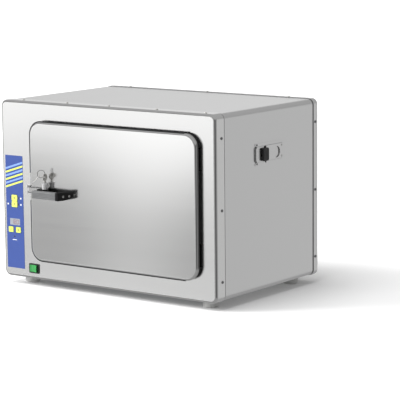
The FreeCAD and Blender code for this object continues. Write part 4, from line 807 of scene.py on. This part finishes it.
def door_skin():
    """Outer pan of the door."""
    return pan("door_skin", 1, DOOR_FACE, DOOR_RIM, DOOR, DOOR_CORNER, 5.0, 1.0, 10, 16)


dress(door_skin(), "stainless_door", "door", ["door_outer_skin"])


def door_edge_shade_line():
    """Thin black bead round the skin's rim, left out at the hinges and at the bolt; it is painted
    shade that stands in for the dark line along the door's outline.
    """
    section = ((2.6, 0.6), (2.4, -1.0), (3.4, -1.6), (5.6, -1.6), (6.2, -0.6), (6.2, 0.6))
    rings = []
    for level, inset in section:
        rings.append(ring(1, DOOR_FACE + level, DOOR, DOOR_CORNER, inset, 16))
    made = loft("door_edge_shade_line", rings, loop=True)
    x0, x1, z0, z1 = DOOR
    depth = (DOOR_FACE - 5, DOOR_RIM + 5)
    cutters = [
        block("hinge_side", x1 - 34, x1 + 10, *depth, z0 - 10, z1 + 10),
        block("bolt_side", x0 - 10, x0 + 10, *depth, 200, 262),
    ]
    return combine(made, [join("edge_shade_cuts", cutters)])


# painted shade: the black strip round the door's face stands in for the dark line along its outline
dress(door_edge_shade_line(), "gasket_rubber", "door")


def door_liner():
    """Margin with a drawn plug, as one skin."""
    steps = 16
    margin = drawn_in(DOOR, 1.1)
    plug_sides, corner = drawn_in(CHAMBER, 3), 11.0
    tip = FRONT + 10
    rings = [ring(1, y, margin, 29.9, 0.0, steps) for y in (DOOR_RIM - 1, DOOR_RIM)]
    foot_r = 1.5
    for step in range(5):
        angle = math.pi / 2 * step / 4
        level = DOOR_RIM + foot_r * (1 - math.cos(angle))
        rings.append(ring(1, level, plug_sides, corner, -foot_r * (1 - math.sin(angle)), steps))
    rings += bend_rings(1, tip, -1, plug_sides, corner, 4.0, 0.0, 6, steps)[::-1]
    rings += bend_rings(1, tip - 1, -1, plug_sides, corner, 3.0, 1.0, 4, steps)
    rings.append(ring(1, DOOR_RIM - 1, plug_sides, corner, 1.0, steps))
    made = vessel("door_liner_sheet", rings, tip)
    x0, x1 = HINGE_X - 3.2, DOOR[1] + 2
    cutters = [
        block("hinge_notch", x0, x1, DOOR_RIM - 3, FRONT, z - 23.4, z + 23.4) for z in HINGES
    ]
    return combine(made, [join("liner_cuts", cutters)])


dress(door_liner(), "liner_steel", "door", ["door_inner_liner"])


def gasket():
    """Moulded seal with two lips, notched for the hinges and the catches."""
    steps = 16
    outer, inner = drawn_in(DOOR, 3), drawn_in(CHAMBER, -5)
    y0, y1 = DOOR_RIM + 0.02, FRONT - 0.02
    outside = (
        (y0, 0.0), (y0 + 2.4, 0.0), (y0 + 3.2, 0.8), (y0 + 4.2, 0.8), (y0 + 5.0, 0.1),
        (y1 - 0.4, 0.0), (y1, 0.5),
    )
    inside = ((y1, -0.5), (y1 - 0.5, 0.0), (y0, 0.0))
    rings = [ring(1, y, outer, 28.0, inset, steps) for y, inset in outside]
    rings += [ring(1, y, inner, 19.0, inset, steps) for y, inset in inside]
    made = loft("door_seal", rings, loop=True)
    left, right, low, high = DOOR
    depth = (DOOR_RIM - 5, FRONT + 5)
    cutters = [
        block("seal_notch", HINGE_X - 28.8, right, *depth, z - 25, z + 25) for z in HINGES
    ]
    for share in (0.2, 0.8):
        z = low + share * (high - low)
        cutters.append(block("seal_notch", left + 6, left + 19, *depth, z - 19, z + 19))
    return combine(made, [join("seal_cuts", cutters)])


dress(gasket(), "gasket_rubber", "door", ["door_gasket"])


# Chamber and trays

def chamber():
    """Deep-drawn box with a flange round its mouth."""
    steps, corner = 8, CHAMBER_CORNER
    y0, y1 = CHAMBER_FRONT, CHAMBER_BACK
    flange = ((y0 + 1, -13.0), (y0, -13.0), (y0, 0.0))
    rings = [ring(1, y, CHAMBER, corner, inset, steps) for y, inset in flange]
    rings += bend_rings(1, y1, -1, CHAMBER, corner, 8.0, 0.0, 6, steps)[::-1]
    rings += bend_rings(1, y1 + 1, -1, CHAMBER, corner + 1, 9.0, -1.0, 6, steps)
    rings.append(ring(1, y0 + 1, CHAMBER, corner, -1.0, steps))
    made = vessel("chamber_box", rings, y1)
    probe = turned("probe_cut", [(2.6, 0), (2.6, 30)], (-180, -48, 307), (1, 0, 0), 16)
    return combine(made, [vent_cutter(205, 232, "vent_cut"), probe])


dress(chamber(), "liner_steel", "case", ["chamber"])


def tray(name, z0):
    """Straight walled tray with a hemmed rim."""
    sides, corner, steps = (-159.0, 214.0, -168.8, 86.7), 14.0, 8
    sheet, bend = 0.8, 4.0
    hem = ((17.2, 0.0), (17.8, 0.2), (18.0, 0.9), (17.8, 1.6), (15.4, 1.7), (15.0, sheet))
    outer = bend_rings(2, z0, 1, sides, corner, bend, 0.0, 5, steps)
    outer += [ring(2, z0 + rise, sides, corner, inset, steps) for rise, inset in hem]
    inner = bend_rings(2, z0 + sheet, 1, sides, corner, bend - sheet, sheet, 5, steps)
    return loft(name, outer + inner[::-1])


dress(tray("lower_tray_pan", 127.1), "tray_steel", "tray_low", ["lower_tray"])
dress(tray("upper_tray_pan", 231.1), "tray_steel", "tray_high", ["upper_tray"])


# Handle

def grip():
    """Rounded bar with three grooves along its face and a chamfered right end."""
    x0, x1, y0, y1, z0, z1 = GRIP
    stations = (
        (x0, 1.2), (x0 + 0.5, 0.4), (x0 + 1.6, 0.0), (x1 - 3.6, 0.0), (x1 - 0.4, 0.7), (x1, 1.2),
    )
    rings = []
    for x, inset in stations:
        section = rounded(*drawn_in((y0, y1, z0, z1), inset), 3.0 - inset / 2, 6)
        rings.append([(x, y, z) for y, z in section])
    made = loft("grip_bar", rings)
    cutters = []
    for share in (0.3, 0.5, 0.7):
        z = z0 + share * (z1 - z0)
        groove = [
            (y0 - 1, z - 0.9), (y0 + 0.7, z - 0.35), (y0 + 0.7, z + 0.35), (y0 - 1, z + 0.9),
        ]
        cutters.append(prism("groove", groove, 0, x0 - 2, x1 - 3.6))
    room = drawn_in((y0, y1, z0, z1), 2.95)
    cutters.append(block("tongue_room", x1 - 6.3, x1 + 5, *room))
    return combine(made, cutters)


dress(grip(), "grip_grey", "door", ["handle_grip"], 40.0)


def right_leg():
    """Leg that slants back to the door, with a rounded foot and a tongue for the grip."""
    _, x1, y0, y1, z0, z1 = GRIP
    low, high = z0 - 0.4, z1 + 0.4
    inner_x = LEFT + 203
    profile = [
        (x1, y0), (LEG_BEND, y0), (LEG_END, LEG_BACK), (LEG_END, DOOR_FACE),
        (inner_x, DOOR_FACE), (inner_x, FRONT - 30), (x1, y1),
    ]
    made = prism("right_leg", profile, 2, low, high)
    half = (high - low) / 2
    centre = LEG_END - half
    plan = [(x1 - 1, low), (centre, low)]
    for step in range(17):
        angle = -math.pi / 2 + math.pi * step / 16
        plan.append((centre + half * math.cos(angle), low + half + half * math.sin(angle)))
    plan += [(centre, high), (x1 - 1, high)]
    made = combine(made, [prism("leg_plan", plan, 1, y0 - 2, DOOR_FACE + 2)], "INTERSECT")
    tongue = block("leg_tongue", x1 - 6, x1 + 1, *drawn_in((y0, y1, z0, z1), 3.25))
    made = combine(made, [tongue], "UNION")
    return settle(bevel(made, 0.9, 3, 30.0))


dress(right_leg(), "handle_black", "door", ["handle_right_leg"], 40.0)


def leg_screws():
    """Seats of the two screws on the leg's slanted face."""
    start = Vector((LEG_BEND, GRIP[2], (GRIP[4] + GRIP[5]) / 2))
    run = Vector((LEG_END, LEG_BACK, start.z)) - start
    outward = Vector((run.y, -run.x, 0)).normalized()
    return [(tuple(start + run * share), tuple(outward)) for share in (0.42, 0.86)]


heads("leg_screw_heads", leg_screws(), 2.6, 1.2, "bright_screw", "door", ["handle_screws"])


def lock_leg():
    """Post with a round boss that holds the lock."""
    _, x1, y0, y1, z0, _ = GRIP
    left, front = LEFT + 134, y1 + 0.1
    sides = (left, left + 16, front, DOOR_FACE)
    post = plate("lock_post", 2, z0, LEG_TOP, sides, 1.0, 0.6, 2, 3)
    height = LEG_TOP - z0
    profile = [(8.4, 0), (9.0, 0.6), (9.0, height - 0.6), (8.4, height)]
    boss = turned("lock_boss", profile, (*LOCK, z0), (0, 0, 1), 40)
    made = combine(post, [boss], "UNION")
    trim = block("leg_trim", left - 5, x1, y0, front, z0 - 5, LEG_TOP + 5)
    room = turned("leg_room", [(7.4, 0), (7.4, 60)], (*LOCK, z0 + 3), (0, 0, 1), 40)
    channel = block("leg_channel", *BOLT_CHANNEL)
    return combine(made, [trim, room, channel])


dress(lock_leg(), "handle_black", "door", ["handle_lock_leg"], 40.0)


def barrel():
    """Lock barrel with a groove near its top, open from end to end."""
    long = LEG_TOP + 14 - LOCK_FOOT
    r, bore = 7.3, 5.09
    profile = [
        (bore, 0), (r, 0), (r, long - 3.6), (r - 0.35, long - 3.3), (r - 0.35, long - 2.7),
        (r, long - 2.4), (r, long - 0.7), (r - 0.25, long - 0.2), (r - 0.7, long), (bore, long),
    ]
    turns = [2 * math.pi * j / 40 for j in range(40)]
    x, y = LOCK
    rings = [
        [(x + radius * math.cos(t), y + radius * math.sin(t), LOCK_FOOT + height) for t in turns]
        for radius, height in profile
    ]
    made = loft("barrel", rings, loop=True)
    return combine(made, [block("barrel_channel", *BOLT_CHANNEL)])


dress(barrel(), "lock_chrome", "door", ["lock_barrel"], 40.0)


def plug():
    """Turning plug with the key's slot."""
    long = PLUG_TOP - LOCK_FOOT
    x, y = LOCK
    profile = [(5.0, 0), (5.0, long - 0.3), (4.7, long)]
    made = turned("plug", profile, (x, y, LOCK_FOOT), (0, 0, 1), 36)
    slot = (x - 0.8, x + 0.8, y - 3.1, y + 3.1, PLUG_TOP - 9.1, PLUG_TOP + 5)
    return combine(made, [block("plug_slot", *slot)])


dress(plug(), "lock_chrome", "lock", ["lock_plug"], 40.0)


# Keys and ring

def key_outline(blade):
    """Bow, shoulders and a blade with cuts, in the key's own plane (across, up)."""
    points = []
    half = 3.0
    join_angle = math.asin(half / BOW_R)
    start = -math.pi / 2 + join_angle
    for step in range(41):
        angle = start + (2 * math.pi - 2 * join_angle) * step / 40
        points.append((BOW_R * math.cos(angle), BOW_RISE + BOW_R * math.sin(angle)))
    cuts = [
        (0.0, 0.30), (0.9, 0.36), (0.3, 0.45), (1.3, 0.53),
        (0.6, 0.62), (1.6, 0.70), (0.8, 0.80), (1.2, 0.88),
    ]
    points.append((-half, -blade * 0.24))
    for depth, share in cuts:
        points.append((-half + depth, -blade * share))
    points += [(-half + 1.6, -blade), (half - 1.0, -blade), (half, -blade + 1.6)]
    return points


def key_form(name, blade):
    """Key in the Y-Z plane with its bow's underside at zero."""
    made = prism(name, key_outline(blade), 0, -0.7, 0.7)
    lean, reach = math.radians(70), 4.2
    hole_y, hole_z = -reach * math.sin(lean), BOW_RISE + reach * math.cos(lean)
    hole = turned("key_hole", [(2.75, 0), (2.75, 6)], (-3, hole_y, hole_z), (1, 0, 0), 28)
    groove = block("key_groove", 0.35, 2, -0.8, 0.4, -blade + 1.5, -1.0)
    return combine(made, [hole, groove]), Vector((0, hole_y, hole_z))


def spun(degrees):
    """Direction in the ring's plane, at an angle from its level line."""
    angle = math.radians(degrees)
    level = math.cos(angle)
    return Vector((-math.cos(KEY_TURN) * level, -math.sin(KEY_TURN) * level, math.sin(angle)))


KEY_BASE = Vector((*LOCK, PLUG_TOP + 6.0))
key, key_eye = key_form("door_key_form", 15.0)
key.data.transform(Matrix.Translation(KEY_BASE * MM))
settle(bevel(key, 0.22, 2, 50.0))
dress(key, "key_nickel", "lock", ["door_key"], 40.0)

RING_CENTRE = KEY_BASE + key_eye + spun(50) * RING_R


def split_ring():
    """Wire wound twice, with its ends lying against the turns."""
    turns, count, wire, pitch = 2.0, 96, 0.45, 0.68
    path = []
    for i in range(count + 1):
        share = i / count
        around = spun(360 * turns * share + 200) * RING_R
        path.append(RING_CENTRE + around + RING_NORMAL * ((share - 0.5) * pitch))
    return tube("split_ring", path, wire, 8)


# painted shade: the split ring gets near black steel for the shade it lies in
dress(split_ring(), "ring_steel", "ring", ["key_ring"], 40.0)


def spare():
    """Second key, hanging from the ring."""
    made, eye = key_form("spare_key_form", 20.0)
    away, along = spun(-45), spun(45)
    side = along.cross(-away)
    turn = Matrix((along, -side, -away)).transposed().to_4x4()
    spot = RING_CENTRE + away * (RING_R + 1.6)
    made.data.transform(Matrix.Translation(spot * MM) @ turn @ Matrix.Translation(-eye * MM))
    return settle(bevel(made, 0.22, 2, 50.0))


dress(spare(), "key_nickel", "ring", ["spare_key"], 40.0)


# Vent on the right side

def vent_cover():
    """Guide plate with two brims, the outlet, the stem's slot and a closed front end."""
    x0, rise = VENT_X, VENT_X + 3.4
    y0, y1 = FRONT + 147, FRONT + 252.4
    z0, z1 = LOW + 279.6, LOW + 326.6
    outer = [
        (x0, z0), (x0 + 1, z0), (x0 + 1, z0 + 5.4), (x0 + 1.3, z0 + 6.1),
        (rise - 0.3, z0 + 6.9), (rise, z0 + 7.6), (rise, z1 - 7.6), (rise - 0.3, z1 - 6.9),
        (x0 + 1.3, z1 - 6.1), (x0 + 1, z1 - 5.4), (x0 + 1, z1), (x0, z1),
    ]
    inner = [
        (x0, z1 - 6.2), (x0 + 0.3, z1 - 6.9), (rise - 1.3, z1 - 7.7), (rise - 1, z1 - 8.4),
        (rise - 1, z0 + 8.4), (rise - 1.3, z0 + 7.7), (x0 + 0.3, z0 + 6.9), (x0, z0 + 6.2),
    ]
    made = prism("vent_cover", outer + inner, 1, y0, y1)
    stem = (x0 + 2.3, 310, KNOB_Y - 17.8, KNOB_Y + 6.8, VENT_Z - 3.3, VENT_Z + 3.3)
    cutters = [vent_cutter(290, 310, "cover_cut"), block("stem_slot", *stem)]
    for y in (y0, y1):
        for z in (z0 + 7, z1 - 7):
            cutters.append(block("relief", 290, 310, y - 2.6, y + 2.6, z - 2.6, z + 2.6))
    made = combine(made, cutters)
    seat = x0 + 0.05
    end = [(seat, z0 + 8), (seat, z1 - 8), (rise - 1, z1 - 8.6), (rise - 1, z0 + 8.6)]
    return join("vent_cover", [made, prism("cover_end", end, 1, y0 + 0.3, y0 + 1.3)])


dress(vent_cover(), "stainless", "case", ["vent_guide_plate"], 40.0)
for rivet_name, rivet_finish, rise, y, heights, stands_for in (
    ("front_rivet_heads", "screw_steel", 1, 153.4, (282.5, 323.7), ["vent_rivets"]),
    ("rear_rivet_heads", "bright_screw", 3.4, 245.7, (291.5, 315.2), []),
):
    seats = [((VENT_X + rise, FRONT + y, LOW + z), (1, 0, 0)) for z in heights]
    heads(rivet_name, seats, 2.4, 0.9, rivet_finish, nodes=stands_for, slotted=False)


def vent_knob():
    """Grooved knob on a rib that runs past it."""
    x0, y, z = VENT_X + 3.7, KNOB_Y, VENT_Z
    grip_sides = (y - 14, y + 7, z - 14.25, z + 14.25)
    rib_sides = (y - 1.5, y + 1.5, z - 18.35, z + 18.35)
    made = plate("knob_grip", 0, x0, x0 + 6, grip_sides, 4.0, 1.4, 4, 6)
    made = combine(made, [plate("knob_rib", 0, x0, x0 + 2, rib_sides, 0.6, 0.4, 2, 3)], "UNION")
    grooves = []
    for number in range(-3, 2):
        middle = y + number * 3.4
        sides = (middle - 0.35, middle + 0.35, z - 11, z + 11)
        grooves.append(block("knob_groove", x0 + 5.4, x0 + 7, *sides))
    return combine(made, grooves)


dress(vent_knob(), "knob_black", "shutter", ["vent_knob"], 40.0)


# Control film: keys, stripes, display, lamps

def soft_key(name, record):
    """Raised key with a brim behind the panel."""
    sides = on_panel(record)
    x0, x1, z0, z1 = sides
    back = FRONT + PANEL_WALL + 0.1
    top = plate(name + "_cap", 1, PAD_FACE, back + 1, sides, 2.2, 0.5, 3, 5)
    brim = block(name + "_brim", x0 - 1.5, x1 + 1.5, back, back + 1, z0 + 0.15, z1 - 0.15)
    return combine(top, [brim], "UNION")


for pad_name, pad in PADS.items():
    made = soft_key(pad_name, pad)
    body = pad_name + "_button"
    dress(made, "key_yellow", body, [pad_name + "_key"], 40.0)


def ink(name, outlines, finish, body="case", level=FILM):
    """Printed shapes on the front, as thin plates; outlines start at the casing's corner."""
    pieces = []
    for number, outline in enumerate(outlines):
        points = [(LEFT + x, LOW + z) for x, z in outline]
        pieces.append(prism(name + str(number), points, 1, level - 0.05, level + 0.01))
    dress(join(name, pieces), finish, body)


def stripe(z):
    """Slanted stripe across the film; z is the height of its middle at the left edge."""
    x0, x1, rise, half = 10.4, 61.1, 16.2, 2.1
    return [(x0, z - half), (x1, z + rise - half), (x1, z + rise + half), (x0, z + half)]


def bar(x, z, width, height):
    """Upright rectangle round its middle."""
    a, b = width / 2, height / 2
    return [(x - a, z - b), (x + a, z - b), (x + a, z + b), (x - a, z + b)]


def arrow(x, z, size, turn):
    """Small triangle; turn is 1 upward and -1 downward."""
    foot = z - turn * size * 0.6
    return [(x - size, foot), (x + size, foot), (x, z + turn * size * 0.8)]


LAMPS = ((54, 181.4), (54, 167), (15.5, 166.8))
STRIPE_STEP = 16.8
ink("light_stripes", [stripe(248.0 - STRIPE_STEP * i) for i in range(3)], "ink_light_blue")
ink("yellow_stripes", [stripe(239.6 - STRIPE_STEP * i) for i in range(3)], "ink_yellow")
ink("film_marks", [bar(33, 85, 13, 1.4)] + [bar(x, z, 3.6, 3.6) for x, z in LAMPS], "ink_white")
for pad_name, outlines in {
    "upper": [arrow(35.2, 181.6, 2.4, 1)], "lower": [arrow(35.2, 167.2, 2.4, -1)],
    "minus": [bar(22.9, 108.4, 4.6, 1.2)],
    "plus": [bar(45.1, 108.4, 4.6, 1.2), bar(45.1, 108.4, 1.2, 4.6)],
}.items():
    ink(pad_name + "_mark", outlines, "ink_dark", pad_name + "_button", PAD_FACE)


def digit(x, z, lit_parts):
    """Seven-part number; parts are named a to g clockwise from the top, g in the middle."""
    w, h, t = 5.2, 9.4, 1.0
    left, right, upper, lower = x - w / 2, x + w / 2, z + h / 4, z - h / 4
    across, upright = (w - t, t), (t, h / 2 - t)
    places = {
        "a": bar(x, z + h / 2, *across), "g": bar(x, z, *across), "d": bar(x, z - h / 2, *across),
        "f": bar(left, upper, *upright), "b": bar(right, upper, *upright),
        "e": bar(left, lower, *upright), "c": bar(right, lower, *upright),
    }
    return [places[p] for p in lit_parts]


DIGIT_Z = 126.5
numbers = digit(27, DIGIT_Z, "bc") + digit(35, DIGIT_Z, "abcdefg") + digit(43, DIGIT_Z, "abcdef")
ink("display_numbers", numbers, "digit")


# Power switch

def switch_bezel():
    """Frame, body and three tabs of the switch."""
    x0, x1, z0, z1 = SWITCH
    rim = 2.6
    made = plate("switch_frame", 1, FRONT - 2.2, FRONT, SWITCH, 2.0, 0.7, 3, 5)
    body = block("switch_block", x0 + 1.3, x1 - 1.3, FRONT - 0.5, FRONT + 24, z0 + 1.3, z1 - 1.3)
    made = combine(made, [body], "UNION")
    throat = plate("switch_throat", 1, FRONT - 8, FRONT + 9, drawn_in(SWITCH, rim), 1.2, steps=4)
    made = combine(made, [throat])
    tabs = []
    z = (z0 + z1) / 2
    for number in range(3):
        x = x0 + rim + (number + 0.5) * (x1 - x0 - 2 * rim) / 3
        tabs.append(block("tab", x - 0.4, x + 0.4, FRONT + 23.5, FRONT + 32, z - 2.4, z + 2.4))
    return combine(made, [join("tabs", tabs)], "UNION")


dress(switch_bezel(), "switch_black", "case", ["switch_body"], 40.0)


def rocker():
    """Dished rocker, tipped to one side."""
    x0, x1, z0, z1 = SWITCH
    inset, tip = 2.95, math.radians(7.0)
    axis = Vector(((x0 + x1) / 2, FRONT + 3.0, (z0 + z1) / 2))
    crest, middle = FRONT - 4.8, FRONT - 2.2
    lean = (axis.y - crest) * math.sin(tip)
    half = (x1 - x0) / 2 - inset - lean
    outline = []
    for step in range(21):
        share = step / 20 * 2 - 1
        outline.append((axis.x + half * share, middle + (crest - middle) * share * share))
    outline += [(axis.x + half / 2, axis.y + 1.5), (axis.x - half / 2, axis.y + 1.5)]
    made = prism("rocker_cap", outline, 2, z0 + inset, z1 - inset)
    made = settle(bevel(made, 0.5, 3, 50.0))
    turn = Matrix.Rotation(-tip, 4, "Z")
    spot = Matrix.Translation(axis * MM)
    made.data.transform(spot @ turn @ spot.inverted())
    return made


dress(rocker(), "rocker_green", "rocker", ["power_rocker"], 40.0)


# Nodes that keep their own shape, by finish

KEPT = {
    "zinc_steel": "base_plate foot_screws support_rails bulkhead",
    "rack_steel": "left_rack right_rack",
    "mica": "lower_heater upper_heater",
    "bush_ceramic": "heater_bushes",
    "wool": "insulation door_insulation",
    "probe_steel": "temperature_probe hinge_pins",
    "cutout_body": "safety_thermostat",
    "liner_steel": "vent_tube",
    "stainless": "vent_shutter",
    "magnet_grey": "door_catches",
    # painted shade: the hinge leaves are made near black to darken the gap on the hinge side
    "black_steel": "hinge_panel_leaves hinge_door_leaves",
    "screw_steel": "hinge_panel_screws hinge_door_screws",
    "lock_chrome": "lock_bolt bolt_keeper",
    "stainless_door": "bolt_sleeve",
    "film_blue": "control_film",
    "display_grey": "display_lens",
    "display_black": "display_module",
    "led_dark": "status_leds",
    "board_green": "control_board power_board",
    "inlet_black": "power_inlet",
}
# Bevels on some of them, in millimetres
SOFT_EDGES = {
    "bolt_sleeve": 0.4, "bolt_keeper": 0.5, "lock_bolt": 0.3, "door_catches": 0.5,
    "power_inlet": 0.4, "left_rack": 0.2, "right_rack": 0.2, "display_lens": 0.2,
}
for finish, node_names in KEPT.items():
    for node_name in node_names.split():
        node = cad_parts[node_name]
        node.data.materials.clear()
        node.data.materials.append(M[finish])
        for polygon in node.data.polygons:
            polygon.material_index = 0
        if node_name in SOFT_EDGES:
            bevel(node, SOFT_EDGES[node_name], 2, 40.0)
